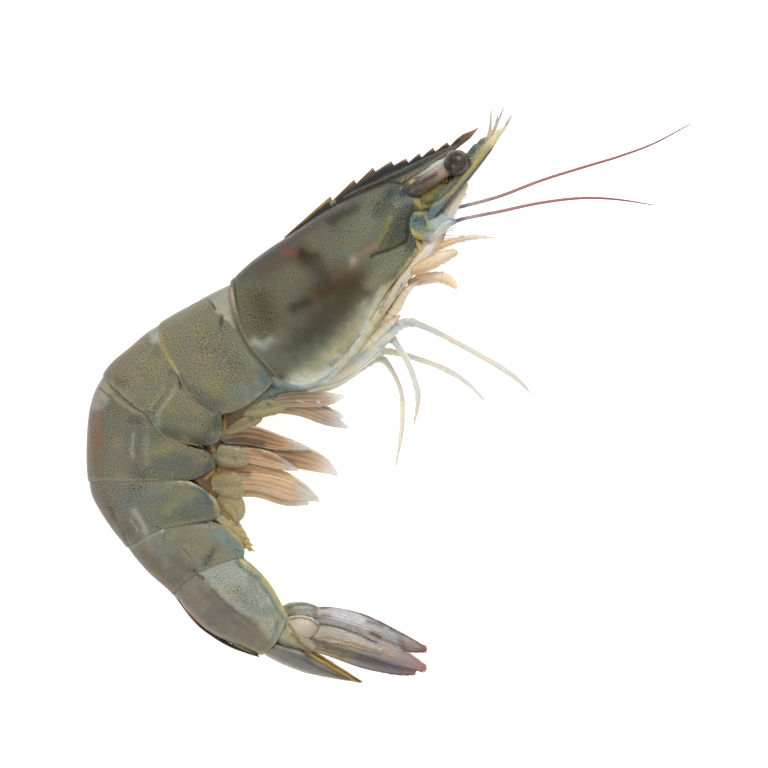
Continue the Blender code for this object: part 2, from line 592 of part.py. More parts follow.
def add_head():
    x, y, z = EYE
    for name, side in SIDES.items():
        centre = (x, y, MID + side * (z - MID))
        add_ball(f"eye_{name}", centre, EYE_RADIUS, SHRIMP, "eye")
        take(add_ball(f"trim_eye_{name}", centre, EYE_RADIUS + GAP, CUTTERS, None))
        add_limb(f"eye_stalk_{name}", [(add_tube, mirrored(EYE_STALK, side))], "flesh", resolution=2)
    for name, side in SIDES.items():
        add_limb(
            f"antennule_{name}",
            [(add_tube, mirrored(ANTENNULE_STALK, side)), *((add_tube, whip) for whip in ANTENNULE_WHIPS[name])],
            "shell",
        )
        add_limb(f"antenna_root_{name}", [(add_blade, mirrored(ANTENNA_ROOT, side))], "shell")
        add_limb(f"antenna_scale_{name}", [(add_blade, mirrored(ANTENNA_SCALE, side))], "shell")
        add_limb(f"antenna_stalk_{name}", [(add_tube, ANTENNA_STALKS[name])], "leg")
        add_limb(f"antenna_{name}", [(add_tube, ANTENNAE[name])], "whip", steps=4)
        add_limb(f"mouth_leg_{name}", [(add_tube, mirrored(MOUTH_LEG, side))], "leg")
        for palp, points in MOUTH_PALPS.items():
            add_limb(f"{palp}_{name}", [(add_blade, mirrored(points, side))], "flesh", sides=6)


def add_legs():
    for name, points in LEGS.items():
        add_limb(name, [(add_tube, points)], "leg")


def add_swimmers():
    for index, (stalk, blades) in enumerate(zip(SWIMMER_STALKS, SWIMMER_BLADES)):
        mid = value_at(ABDOMEN_HALF_WIDTHS, 2 * index + 1) - PRESSED
        for name, side in SIDES.items():
            root = mid + side * SWIMMER_OFFSET
            shapes = [(add_blade, [(x, y, root, wide, wide * 0.8) for x, y, wide in stalk])]
            for k, outline in enumerate(blades):
                height = root + side * (0.5 - k)
                lag = LEFT_LAG if index == 0 and side < 0 and k == 0 else 0
                blade = [
                    (x, y - lag * n, max(height - 0.25 * n, 0.6), wide, BLADE_HALF_THICKNESS)
                    for n, (x, y, wide) in enumerate(outline)
                ]
                shapes.append((add_blade, blade))
            add_limb(f"swimmer_{index + 1}_{name}", shapes, "flesh", sides=7)


def shade_smooth():
    for piece in SHRIMP.objects:
        piece.data.shade_smooth()
        piece.data.set_sharp_from_angle(angle=math.radians(40))


def centre_over_origin():
    """Slides the whole animal so that the origin is under the middle of its bounding box."""
    bpy.context.view_layer.update()
    boxes = [box_of(piece) for piece in SHRIMP.objects]
    for k in range(2):
        middle = (min(low[k] for low, _ in boxes) + max(high[k] for _, high in boxes)) / 2
        for piece in SHRIMP.objects:
            piece.location[k] -= middle


add_table()
add_body()
add_tail_fan()
add_head()
add_legs()
add_swimmers()
shade_smooth()
centre_over_origin()
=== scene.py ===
import bpy
import numpy as np
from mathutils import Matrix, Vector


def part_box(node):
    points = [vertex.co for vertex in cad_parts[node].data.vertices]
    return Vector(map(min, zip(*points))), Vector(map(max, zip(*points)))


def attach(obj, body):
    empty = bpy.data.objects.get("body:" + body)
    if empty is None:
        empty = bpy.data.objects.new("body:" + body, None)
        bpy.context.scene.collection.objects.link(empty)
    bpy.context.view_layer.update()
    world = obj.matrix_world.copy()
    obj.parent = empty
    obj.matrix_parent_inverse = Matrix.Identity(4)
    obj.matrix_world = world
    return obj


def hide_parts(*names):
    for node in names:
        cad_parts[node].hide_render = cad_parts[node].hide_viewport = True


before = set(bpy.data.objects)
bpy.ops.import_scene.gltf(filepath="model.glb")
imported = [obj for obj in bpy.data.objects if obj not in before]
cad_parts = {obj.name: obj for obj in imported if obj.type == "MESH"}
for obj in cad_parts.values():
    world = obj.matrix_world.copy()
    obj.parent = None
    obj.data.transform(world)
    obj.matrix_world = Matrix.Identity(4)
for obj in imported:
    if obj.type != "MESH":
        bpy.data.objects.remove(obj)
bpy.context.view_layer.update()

mm = 0.001

# Shapes below are in millimetres: x and y across the table, and the height above it.
# The plan's zero is near the middle of the animal; the right eye gives its place in the frame.
eyePlan = (13.4, 44.0)
eyeLow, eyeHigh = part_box("eye_right")
planPlace = np.array([
    (eyeLow.x + eyeHigh.x) / 2 - eyePlan[0] * mm,
    (eyeLow.y + eyeHigh.y) / 2 - eyePlan[1] * mm,
    0.0,
])

studio = {
    "pictureMiddle": (-0.475, 1.995),  # the plan's point at the middle of the picture
    "pictureWidth": 145.92,
    "cameraHeight": 400,
    "sky": 0.46,
    "skyColour": (1, 1, 1),
    "floorColour": (0.95, 0.95, 0.95),
    "floorGlow": 0.75,
    "floorSize": 1600,
    "floorGap": 0.02,  # below the table's own plane
    # each light: the way to it from the shrimp, its distance, its width and its power in watts
    "lights": {
        "keyLight": ((0.30, 0.75, 0.75), 420, 170, 0.7),
        "fillLight": ((-0.55, -0.35, 0.80), 420, 260, 0.4),
    },
}


def addCamera():
    data = bpy.data.cameras.new("camera")
    data.type = "ORTHO"
    data.ortho_scale = studio["pictureWidth"] * mm
    data.clip_start = 0.01
    data.clip_end = 10
    camera = bpy.data.objects.new("camera", data)
    bpy.context.scene.collection.objects.link(camera)
    x, y = studio["pictureMiddle"]
    camera.location = planPlace + np.array([x, y, studio["cameraHeight"]]) * mm
    bpy.context.scene.camera = camera


def addLights():
    world = bpy.data.worlds.new("sky")
    world.use_nodes = True
    background = world.node_tree.nodes["Background"]
    background.inputs["Color"].default_value = (*studio["skyColour"], 1)
    background.inputs["Strength"].default_value = studio["sky"]
    bpy.context.scene.world = world
    for name, (way, distance, width, power) in studio["lights"].items():
        data = bpy.data.lights.new(name, "AREA")
        data.shape = "DISK"
        data.size = width * mm
        data.energy = power
        light = bpy.data.objects.new(name, data)
        bpy.context.scene.collection.objects.link(light)
        way = np.array(way) / np.linalg.norm(way)
        light.location = way * distance * mm
        light.rotation_euler = light.location.to_track_quat("Z", "Y").to_euler()


def addFloor():
    half = studio["floorSize"] / 2
    corners = [(-half, -half), (half, -half), (half, half), (-half, half)]
    mesh = bpy.data.meshes.new("floor")
    mesh.from_pydata([(x * mm, y * mm, -studio["floorGap"] * mm) for x, y in corners], [], [(0, 1, 2, 3)])
    floor = bpy.data.objects.new("floor", mesh)
    bpy.context.scene.collection.objects.link(floor)
    material = bpy.data.materials.new("paleFloor")
    material.use_nodes = True
    shader = material.node_tree.nodes["Principled BSDF"]
    shader.inputs["Base Color"].default_value = (*studio["floorColour"], 1)
    shader.inputs["Roughness"].default_value = 0.9
    shader.inputs["Specular IOR Level"].default_value = 0.1
    shader.inputs["Emission Color"].default_value = (1, 1, 1, 1)
    shader.inputs["Emission Strength"].default_value = studio["floorGlow"]
    mesh.materials.append(material)


addCamera()
addLights()
addFloor()
bpy.context.scene.view_settings.view_transform = "Standard"
print("camera, light and floor ready")


# the smooth curve through points, at t counted in points:
# (2q + (r-p)u + (2p-5q+4r-s)u^2 + (3q-p-3r+s)u^3) / 2 on the stretch from q to r
def alongCurve(points, t):
    points = np.array(points, float)
    if points.ndim == 1:
        points = points[:, None]
    padded = np.vstack([2 * points[0] - points[1], points, 2 * points[-1] - points[-2]])
    t = np.asarray(t, float)
    k = np.clip(np.floor(t).astype(int), 0, len(points) - 2)
    u = (t - k)[..., None]
    p, q, r, s = padded[k], padded[k + 1], padded[k + 2], padded[k + 3]
    return (2 * q + (r - p) * u + (2 * p - 5 * q + 4 * r - s) * u**2 + (3 * q - p - 3 * r + s) * u**3) / 2


# 0 below low, 1 above high, and 3u^2 - 2u^3 between
def ease(value, low, high):
    u = np.clip((value - low) / (high - low), 0, 1)
    return u * u * (3 - 2 * u)


# a hump of height 1 at the middle: exp(-((value - middle) / reach)^2)
def hump(value, middle, reach):
    return np.exp(-(((value - middle) / reach) ** 2))


# soft noise from -1 to 1: fixed random numbers on a lattice of that size, eased between corners
def cloud(spots, size, seed):
    spots = np.asarray(spots, float) / size + seed * 7.31
    cell = np.floor(spots).astype(np.int64)
    part = spots - cell
    part = part * part * (3 - 2 * part)
    total = 0
    for corner in np.ndindex(*(2,) * spots.shape[-1]):
        weight = np.prod(np.where(corner, part, 1 - part), axis=-1)
        mixed = np.zeros(cell.shape[:-1], np.int64) + seed * 101
        for axis, factor in zip(range(spots.shape[-1]), (73856093, 19349663, 83492791)):
            mixed = mixed ^ ((cell[..., axis] + corner[axis]) * factor)
        mixed = (mixed ^ (mixed >> 13)) * 1274126177 & 0x7FFFFFFF
        mixed = (mixed ^ (mixed >> 15)) & 0xFFFF
        total = total + weight * (mixed / 32767.5 - 1)
    return total


# three clouds added up, each finer and fainter than the one before
def clouds(spots, size, seed):
    total = cloud(spots, size, seed)
    total = total + 0.5 * cloud(spots, size / 2.1, seed + 1)
    total = total + 0.25 * cloud(spots, size / 4.3, seed + 2)
    return total / 1.4


# a colour as the eye sees it, written 0xRRGGBB, made linear
def seen(colour):
    share = np.array([colour >> 16, colour >> 8 & 255, colour & 255]) / 255
    return np.where(share > 0.04045, ((share + 0.055) / 1.055) ** 2.4, share / 12.92)


def unit(vectors):
    return vectors / np.linalg.norm(vectors, axis=-1, keepdims=True)


# Marks are painted strokes along a line and patches in an outline. Both have a colour, how much
# of it they lay on, how many pigment dots they add and how far they raise the surface.
# Their points are steps of 0.19 mm to the right and down from the picture's top left corner.
def stroke(points, wide, colour, much, specks=0, rise=0, edge=2):
    return {"line": onPlan(points), "wide": wide, "colour": colour, "much": much, "specks": specks,
            "rise": rise, "edge": edge}


def patch(points, soft, colour, much, specks=0):
    outline = onPlan(points)
    return {"line": np.vstack([outline, outline[:1]]), "soft": soft, "colour": colour, "much": much,
            "specks": specks, "rise": 0}


# x = 0.19 (right - 386.5) and y = 0.19 (394.5 - down)
def onPlan(points):
    return (np.reshape(points, (-1, 2)) - (386.5, 394.5)) * (0.19, -0.19)


# how near each spot of the plan is to a mark, from 0 to 1. Along a stroke it is
# exp(-(distance / reach)^edge), with a reach of its own on the left and on the right;
# in a patch it is 1 / (1 + exp(-depth inside / soft)).
def nearness(plan, mark):
    points = mark["line"]
    isPatch = "soft" in mark
    left, right = (0, 0) if isPatch else np.broadcast_to(mark["wide"], 2)
    reach = 6 * mark["soft"] if isPatch else 3.2 * max(left, right)
    close = ((plan > points.min(0) - reach - 1) & (plan < points.max(0) + reach + 1)).all(-1)
    result = np.zeros(plan.shape[:-1])
    spots = plan[close]
    if not len(spots):
        return result
    if len(points) == 1:
        result[close] = np.exp(-(np.linalg.norm(spots - points[0], axis=-1) / left) ** mark["edge"])
        return result
    piecesPerPoint = 5
    count = (len(points) - 1) * piecesPerPoint
    line = alongCurve(points, np.linspace(0, len(points) - 1, count + 1))
    best, side, inside = np.full(len(spots), 1e9), np.zeros(len(spots)), np.zeros(len(spots), bool)
    for start, step in zip(line[:-1], np.diff(line, axis=0)):
        gap = spots - start
        share = np.clip(gap @ step / max(step @ step, 1e-9), 0, 1)
        distance = np.linalg.norm(gap - share[:, None] * step, axis=-1)
        nearer = distance < best
        best = np.where(nearer, distance, best)
        side = np.where(nearer, step[0] * gap[:, 1] - step[1] * gap[:, 0], side)
        if isPatch:
            crosses = (start[1] > spots[:, 1]) != (start[1] + step[1] > spots[:, 1])
            climb = step[1] if abs(step[1]) > 1e-9 else 1e-9
            inside ^= crosses & (spots[:, 0] < start[0] + step[0] * (spots[:, 1] - start[1]) / climb)
    if isPatch:
        depth = np.where(inside, best, -best)
        result[close] = 1 / (1 + np.exp(np.clip(-depth / mark["soft"], -40, 40)))
    else:
        result[close] = np.exp(-(best / np.where(side > 0, left, right)) ** mark["edge"])
    return result


mostSpecks = 1.3


# paints marks with ragged edges on a part and returns how far each point is raised by them
def paint(part, marks, ragged, share=1.0):
    points = part["points"]
    wobble = [cloud(points, 1.1, 31 + axis) + 0.5 * cloud(points, 0.4, 41 + axis) for axis in (0, 1)]
    plan = points[..., :2] + ragged * np.stack(wobble, -1)
    rise = np.zeros(plan.shape[:-1])
    for mark in marks.values():
        near = nearness(plan, mark) * share
        tone(part, near * mark["much"], mark["colour"])
        part["specks"] = np.clip(part["specks"] + near * mark["specks"], 0, mostSpecks)
        rise += near * mark["rise"]
    return rise


# blends a colour in by a share that is worked out on the part's own grid
def tone(part, share, colour, specks=0.0):
    part["tint"] += (seen(colour) - part["tint"]) * share[..., None]
    part["specks"] = np.clip(part["specks"] + share * specks, 0, mostSpecks)


# outward normals of closed grids of points, shaped (items, rows, columns, 3)
def outward(points):
    ahead = np.gradient(points, axis=1)
    around = np.roll(points, -1, axis=2) - np.roll(points, 1, axis=2)
    normals = np.cross(ahead, around)
    normals /= np.maximum(np.linalg.norm(normals, axis=-1, keepdims=True), 1e-12)
    middle = points.mean(axis=2, keepdims=True)
    sign = np.sign(((points - middle) * normals).sum())
    return normals * (sign if sign else 1)


# raises each point along the normal, and keeps the lowest ones on the table
def raised(points, rise):
    points = points + outward(points) * rise[..., None]
    points[..., 2] = onTable(points[..., 2])
    return points


tableEase = 0.08


# (z + sqrt(z^2 + tableEase^2)) / 2 presses what would be under the table flat, softly
def onTable(height):
    return (height + np.sqrt(height**2 + tableEase**2)) / 2


# lengths in millimetres along the rows and round the columns, measured from the middle
def flowOf(points):
    along = np.cumsum(np.linalg.norm(np.diff(points, axis=1, prepend=points[:, :1]), axis=-1), axis=1)
    around = np.cumsum(np.linalg.norm(np.diff(points, axis=2, prepend=points[:, :, :1]), axis=-1), axis=2)
    middle = points.shape[2] // 2
    return np.stack([along - along[:, -1:] / 2, around - around[:, :, middle:middle + 1]], -1)


# a part's grids, with a colour, a share of pigment dots and a cover below 1 where it is see-through
def newPart(points, colour, specks=0.0):
    points = points if points.ndim == 4 else points[None]
    shape = points.shape[:-1]
    tint = np.broadcast_to(seen(colour), points.shape).copy()
    return {"points": points, "tint": tint, "specks": np.full(shape, float(specks)), "clear": np.ones(shape)}


# faces of closed grids: quads round each row, and at both ends a fan to a tip, numbered after the grid
def gridFaces(items, rows, columns):
    cells = np.arange(items * rows * columns).reshape(items, rows, columns)
    tips = cells.size + np.arange(items * 2).reshape(items, 2, 1)
    after = np.roll(cells, -1, axis=2)
    quads = np.stack([cells[:, :-1], after[:, :-1], after[:, 1:], cells[:, 1:]], -1)
    low = np.stack([after[:, 0], cells[:, 0], np.broadcast_to(tips[:, 0], (items, columns))], -1)
    high = np.stack([cells[:, -1], after[:, -1], np.broadcast_to(tips[:, 1], (items, columns))], -1)
    return quads.reshape(-1, 4), np.concatenate([low.reshape(-1, 3), high.reshape(-1, 3)])


# the corners of those faces on the UV map: rows run across it, and items and their columns up it
def gridMaps(items, rows, columns):
    item, row, column = np.ogrid[:items, 1:rows, :columns]
    start = (item + (column + 0.01) / (columns + 0.02)) / items
    step = 1 / (columns + 0.02) / items

    def corners(*values):
        shape = np.broadcast_shapes(*(np.shape(value) for value in values))
        pairs = np.stack([np.broadcast_to(value, shape) for value in values], -1)
        return pairs.reshape(-1, len(values) // 2, 2) / (rows + 1, 1)

    quadMap = corners(row, start, row, start + step, row + 1, start + step, row + 1, start)
    low = corners(1, start + step, 1, start, 0, start + step / 2)
    high = corners(rows, start, rows, start + step, rows + 1, start + step / 2)
    return quadMap, np.concatenate([low, high])


# six times the volume that faces close in, which is below zero when they point inwards
def volumeOf(places, quads, fans):
    triangles = np.concatenate([quads[:, [0, 1, 2]], quads[:, [0, 2, 3]], fans])
    a, b, c = (places[triangles[:, k]] for k in range(3))
    return (a * np.cross(b, c)).sum()


# each grid's values, then those at its two tips, which are the means of its first and last rows
def withTips(values):
    tips = np.stack([values[:, 0].mean(1), values[:, -1].mean(1)], 1)
    width = values.shape[3:]
    return np.concatenate([values.reshape(-1, *width), tips.reshape(-1, *width)])


# One piece is made of parts, which are sets of closed grids. Each part has a strip of the piece's
# UV map, which is wider the longer its grids are.
def addPiece(name, parts, slot, nodes=()):
    places, polygons, maps = [], [], []
    fields = {"tint": [], "flow": [], "specks": [], "clear": []}
    sizes = np.sqrt([np.linalg.norm(np.diff(part["points"], axis=1), axis=-1).sum() for part in parts])
    strips = np.append(0, np.cumsum(sizes) / sizes.sum())
    count = 0
    for part, stripLow, stripHigh in zip(parts, strips[:-1], strips[1:]):
        shape = part["points"].shape[:3]
        spots = withTips(part["points"]) * mm + planPlace
        quads, fans = gridFaces(*shape)
        turn = slice(None, None, 1 if volumeOf(spots, quads, fans) > 0 else -1)
        for faces, faceMap in zip((quads, fans), gridMaps(*shape)):
            faceMap[..., 0] = stripLow + (0.003 + 0.994 * faceMap[..., 0]) * (stripHigh - stripLow)
            polygons.append(faces[:, turn] + count)
            maps.append(faceMap[:, turn].reshape(-1, 2))
        places.append(spots)
        part.setdefault("flow", flowOf(part["points"]))
        for field, values in fields.items():
            values.append(withTips(part[field]))
        count += len(spots)
    piece = bpy.data.objects.new(name, newMesh(name, np.concatenate(places), polygons, maps, fields))
    piece.data.materials.append(looks[slot])
    bpy.context.scene.collection.objects.link(piece)
    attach(piece, "root")
    if nodes:
        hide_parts(*nodes)


def newMesh(name, places, polygons, maps, fields):
    corners = np.concatenate([faces.ravel() for faces in polygons])
    lengths = np.concatenate([np.full(len(faces), faces.shape[1]) for faces in polygons])
    starts = np.append(0, np.cumsum(lengths)[:-1])
    mesh = bpy.data.meshes.new(name)
    mesh.vertices.add(len(places))
    mesh.vertices.foreach_set("co", places.astype(np.float32).ravel())
    mesh.loops.add(len(corners))
    mesh.loops.foreach_set("vertex_index", corners.astype(np.int32))
    mesh.polygons.add(len(lengths))
    mesh.polygons.foreach_set("loop_start", starts.astype(np.int32))
    mesh.update(calc_edges=True)
    mesh.shade_smooth()
    uvMap = mesh.uv_layers.new(name="OFBake")
    uvMap.uv.foreach_set("vector", np.concatenate(maps).astype(np.float32).ravel())
    values = {field: np.concatenate(parts) for field, parts in fields.items()}
    values["tint"] = np.pad(np.clip(values["tint"], 0, 1), ((0, 0), (0, 1)), constant_values=1)
    values["flow"] = np.pad(values["flow"], ((0, 0), (0, 1)))
    kinds = {"tint": ("FLOAT_COLOR", "color"), "flow": ("FLOAT_VECTOR", "vector"),
             "specks": ("FLOAT", "value"), "clear": ("FLOAT", "value")}
    for field, (kind, key) in kinds.items():
        attribute = mesh.attributes.new(field, kind, "POINT")
        attribute.data.foreach_set(key, values[field].astype(np.float32).ravel())
    return mesh


class Wire:
    # one output of a material's nodes; arithmetic on it adds Math nodes
    def __init__(self, tree, socket=None):
        self.tree = tree
        self.socket = socket

    # any node: its type, its settings, then the values or wires of its sockets
    def node(self, kind, settings, sockets, out=0):
        made = self.tree.nodes.new("ShaderNode" + kind)
        for key, value in settings.items():
            setattr(made, key, value)
        for key, value in sockets.items():
            if isinstance(value, Wire):
                self.tree.links.new(value.socket, made.inputs[key])
            else:
                made.inputs[key].default_value = value
        return Wire(self.tree, made.outputs[out])

    def math(self, operation, first, second, clamp=False):
        return self.node("Math", {"operation": operation, "use_clamp": clamp}, {0: first, 1: second})

    def __add__(self, other):
        return self.math("ADD", self, other)

    def __sub__(self, other):
        return self.math("SUBTRACT", self, other)

    def __rsub__(self, other):
        return self.math("SUBTRACT", other, self)

    def __mul__(self, other):
        return self.math("MULTIPLY", self, other)

    __radd__ = __add__
    __rmul__ = __mul__

    def clamped(self):
        return self.math("ADD", self, 0.0, True)

    def attribute(self, name, out):
        return self.node("Attribute", {"attribute_name": name}, {}, out)

    def noise(self, vector, scale, detail=2.0):
        return self.node("TexNoise", {}, {"Vector": vector, "Scale": scale, "Detail": detail})

    def mixed(self, share, first, second):
        return self.node("Mix", {"data_type": "RGBA"}, {0: share, 6: first, 7: second}, 2)

    def vector(self, operation, first, second):
        return self.node("VectorMath", {"operation": operation}, {0: first, 1: second})


# every finish: painted tint, mottling, lengthwise streaks, round pigment dots, and a fine wet relief
finishes = {
    "shell": {
        "light": 1.06, "roughness": 0.38, "shine": 0.18, "coat": 0.1, "mottle": 0.55, "streak": 0.05,
        "dotSpacing": 0.42, "dotSize": 0.285, "dotColour": 0x1a1f1d, "bump": 0.5, "soft": 0,
    },
    "fan": {
        "light": 1.04, "roughness": 0.32, "shine": 0.35, "coat": 0.25, "mottle": 0.25, "streak": 0.18,
        "dotSpacing": 0.4, "dotSize": 0.3, "dotColour": 0x3c3234, "bump": 0.5, "soft": 0.12,
    },
    "flesh": {
        "light": 1.09, "roughness": 0.36, "shine": 0.35, "coat": 0.2, "mottle": 0.3, "streak": 0.22,
        "dotSpacing": 0.35, "dotSize": 0.28, "dotColour": 0x3c3c34, "bump": 0.4, "soft": 0.25,
    },
    "leg": {
        "light": 1.08, "roughness": 0.34, "shine": 0.35, "coat": 0.3, "mottle": 0.18, "streak": 0.2,
        "dotSpacing": 0.3, "dotSize": 0.3, "dotColour": 0x465860, "bump": 0.3, "soft": 0.25,
    },
    "whip": {
        "light": 1.0, "roughness": 0.4, "shine": 0.35, "coat": 0.15, "mottle": 0.2, "streak": 0.1,
        "dotSpacing": 0.3, "dotSize": 0.3, "dotColour": 0x6e3c37, "bump": 0.3, "soft": 0.1,
    },
    "eye": {
        "light": 1.0, "roughness": 0.3, "shine": 0.35, "coat": 0.08, "mottle": 0.35, "streak": 0,
        "dotSpacing": 0.16, "dotSize": 0.3, "dotColour": 0x1a1412, "bump": 0.1, "soft": 0,
    },
}


grain = {
    # noise is counted per metre on the piece's own place, and streaks and dots per millimetre of surface
    "blotches": 700,
    "fine": 2600,
    "hues": 300,
    "streaks": (0.25, 3.2, 1),
    "bends": 0.4,
    "bendReach": (0.9, 0.9, 0),
    "dotCover": 0.88,
    "bareShell": (1.25, 1.22, 1.09, 1),  # between the dots the shell is warmer and lighter
    "blueHue": (0.94, 1, 1.09, 1),
    "oliveHue": (1.06, 1.02, 0.93, 1),
    "reliefDepth": 0.00006,
    "coatRoughness": 0.18,
    "softRadius": (1, 0.6, 0.4),
    "softDepth": 0.0006,
}


def makeLook(name):
    finish = finishes[name]
    material = bpy.data.materials.new(name + "Look")
    material.use_nodes = True
    tree = material.node_tree
    shader = tree.nodes["Principled BSDF"]
    here = Wire(tree)
    tint = here.attribute("tint", "Color")
    specks = here.attribute("specks", "Fac")
    flow = here.attribute("flow", "Vector")
    place = here.node("TexCoord", {}, {}, "Object")
    coarse = here.noise(place, grain["blotches"], 3.0)
    fine = here.noise(place, grain["fine"], 3.0)
    lengthwise = here.noise(here.vector("MULTIPLY", flow, grain["streaks"]), 1.0, 3.0)
    # dots in wavy rows: cells of a Voronoi pattern on the surface's own lengths, bent by soft noise
    bend = here.node("TexNoise", {"noise_dimensions": "2D"},
                     {"Vector": flow, "Scale": grain["bends"], "Detail": 1.0}, "Color")
    bent = here.vector("ADD", flow, here.vector("MULTIPLY", bend, grain["bendReach"]))
    cells = here.node("TexVoronoi", {"voronoi_dimensions": "2D"},
                      {"Vector": bent, "Scale": 1 / finish["dotSpacing"], "Randomness": 0.6}, "Distance")
    size = (specks * 0.6 + 0.35) * (coarse * 1.3 + 0.35) * finish["dotSize"]
    dots = ((size - cells) * 6.5 + 0.25).clamped() * (specks * 1.8).clamped()
    shade = finish["light"] + (coarse - 0.5) * finish["mottle"] + (fine - 0.5) * finish["mottle"] * 0.7
    shade = shade + (lengthwise - 0.5) * finish["streak"]
    bare = here.mixed(specks.clamped(), (1, 1, 1, 1), grain["bareShell"])
    ground = here.vector("MULTIPLY", tint, bare)
    hue = ((here.noise(place, grain["hues"], 2.0) - 0.5) * 3.0 + 0.5).clamped()
    ground = here.vector("MULTIPLY", ground, here.mixed(hue, grain["blueHue"], grain["oliveHue"]))
    colour = here.node("VectorMath", {"operation": "SCALE"}, {0: ground, "Scale": shade})
    colour = here.mixed(dots * grain["dotCover"], colour, (*seen(finish["dotColour"]), 1))
    relief = fine + coarse * 0.6 - dots * 0.25 + lengthwise * finish["streak"]
    bump = here.node("Bump", {}, {"Strength": finish["bump"], "Distance": grain["reliefDepth"],
                                  "Height": relief}, "Normal")
    rough = finish["roughness"] + (coarse - 0.5) * 0.25
    for key, wire in (("Base Color", colour), ("Normal", bump), ("Roughness", rough)):
        tree.links.new(wire.socket, shader.inputs[key])
    if name != "shell":
        tree.links.new(here.attribute("clear", "Fac").socket, shader.inputs["Alpha"])
    shader.inputs["Coat Weight"].default_value = finish["coat"]
    shader.inputs["Coat Roughness"].default_value = grain["coatRoughness"]
    shader.inputs["Specular IOR Level"].default_value = finish["shine"]
    shader.inputs["Subsurface Weight"].default_value = finish["soft"]
    shader.inputs["Subsurface Radius"].default_value = grain["softRadius"]
    shader.inputs["Subsurface Scale"].default_value = grain["softDepth"]
    return material


looks = {name: makeLook(name) for name in finishes}
print("materials ready")


bodySizes = {
    "headHalfWidth": 8.2,
    "pressed": 0.35,  # how far the soft left side lies flat
    "archShare": 0.76,  # of the section's half that is arch, from the back to the flap's edge
    "archColumns": 0.86,  # of the columns of the section's half
    "archAngle": 2.45,
    "bellyHollow": 0.1,
}
headMiddle = bodySizes["headHalfWidth"] - bodySizes["pressed"]
archShare = bodySizes["archShare"]


# depth = (1 - cos(angle)) / (1 - cos(widest)) and width = sin(angle)^0.75 on the arch;
# past the flap's edge the belly's hollow rises by a sine as the width falls to nothing
def sectionShares(a):
    a = np.abs(a)
    widest = bodySizes["archAngle"]
    angle = widest * np.minimum(a / archShare, 1)
    depth = (1 - np.cos(angle)) / (1 - np.cos(widest))
    u = np.clip((a - archShare) / (1 - archShare), 0, 1)
    hollow = np.sin(u * np.pi / 2)
    width = np.sin(angle) ** 0.75 * (1 - u)
    return depth - bodySizes["bellyHollow"] * hollow, width, depth**2 * (1 - hollow)


# a section from the back's line to the belly's, which grows outwards on the arch and inwards below it
def sectionPoints(back, belly, halfWidth, middle, a, flap, grow):
    across = belly - back
    depth = np.linalg.norm(across, axis=-1)
    down = across / depth[..., None]
    depthShare, widthShare, flapShare = sectionShares(a)
    drop = (depthShare - 0.5) * (depth + 2 * grow) + 0.5 * depth + flap * flapShare
    spread = np.where(np.abs(a) <= archShare, widthShare, -0.6)
    aside = np.maximum(widthShare * halfWidth + spread * grow, 0)
    plan = back + down * drop[..., None]
    return np.concatenate([plan, (middle + np.copysign(aside, a))[..., None]], -1)


# how far a ring joint has bowed at depth v: sin(pi v)^0.7
def bow(v):
    return np.sin(np.pi * np.clip(v, 0, 1)) ** 0.7


# a joint's place at depth v: its bow, and below the hinge the sag of the lobe over the next ring
def jointAt(joint, v):
    low = np.clip((v - 0.45) / 0.6, 0, 1)
    return abdomen["sweeps"][joint] * bow(v) + abdomen["sags"][joint] * np.sin(np.pi * low) ** 1.5


# the section's columns, closer together near the back's ridge:
# a = archShare * (s / archColumns)^1.2 on the arch, and even steps over the belly
def sectionColumns(count):
    s = np.linspace(-1, 1, count, endpoint=False)
    reach, onArch = np.abs(s), bodySizes["archColumns"]
    arch = archShare * (reach / onArch) ** 1.2
    belly = archShare + (1 - archShare) * (reach - onArch) / (1 - onArch)
    return np.copysign(np.where(reach < onArch, arch, belly), s)


# A shell runs in rows from start to end, in stations of the body. Its lips round the free edges and
# close them: each lip row lies so far past the end, and its section is so much smaller.
def shellPart(pointAt, start, end, rows, columns, step, lips, colour, specks):
    a = sectionColumns(columns)
    v = sectionShares(a)[0]
    lipRows = lips["start"] + [(0, 0)] * rows + lips["end"]
    past, less = np.array(lipRows, float).T
    first, last = len(lips["start"]), len(lips["start"]) + rows - 1
    share = np.concatenate([[0] * first, np.linspace(0, 1, rows), [1] * len(lips["end"])])
    low, high = start(v), end(v)
    t = low + (high - low) * share[:, None] + past[:, None]
    grow = np.broadcast_to((less - step * (1 - ease(share, 0, 0.25)))[:, None], t.shape)
    part = newPart(pointAt(t, np.broadcast_to(a, t.shape), grow), colour, specks)
    flow = flowOf(part["points"])[0]
    around = np.abs(flow[..., 1])
    edge = np.abs(np.abs(a) - archShare).argmin()
    part.update(
        a=a, v=v, share=share[:, None],
        fromStart=flow[..., 0] - flow[first, :, 0],
        fromEnd=flow[last, :, 0] - flow[..., 0],
        fromBack=around,
        fromEdge=around[:, edge:edge + 1] - around,
    )
    return part


shellRelief = {"sunk": 0.08, "lumps": 0.09, "lumpSize": 4.5, "grain": 0.018, "grainSize": 0.9}


# the colour of the folded-in belly side, then soft lumps and a fine grain over the whole shell
def finishShell(part, rise, bellyColour, bellyBlend):
    belly = ease(np.abs(part["a"]), archShare, archShare + bellyBlend)
    tone(part, belly * 0.9, bellyColour, -1)
    lumps = shellRelief["lumps"] * clouds(part["points"], shellRelief["lumpSize"], 5)
    fine = shellRelief["grain"] * clouds(part["points"], shellRelief["grainSize"], 9)
    part["points"] = raised(part["points"], rise - shellRelief["sunk"] + lumps + fine)
    return part


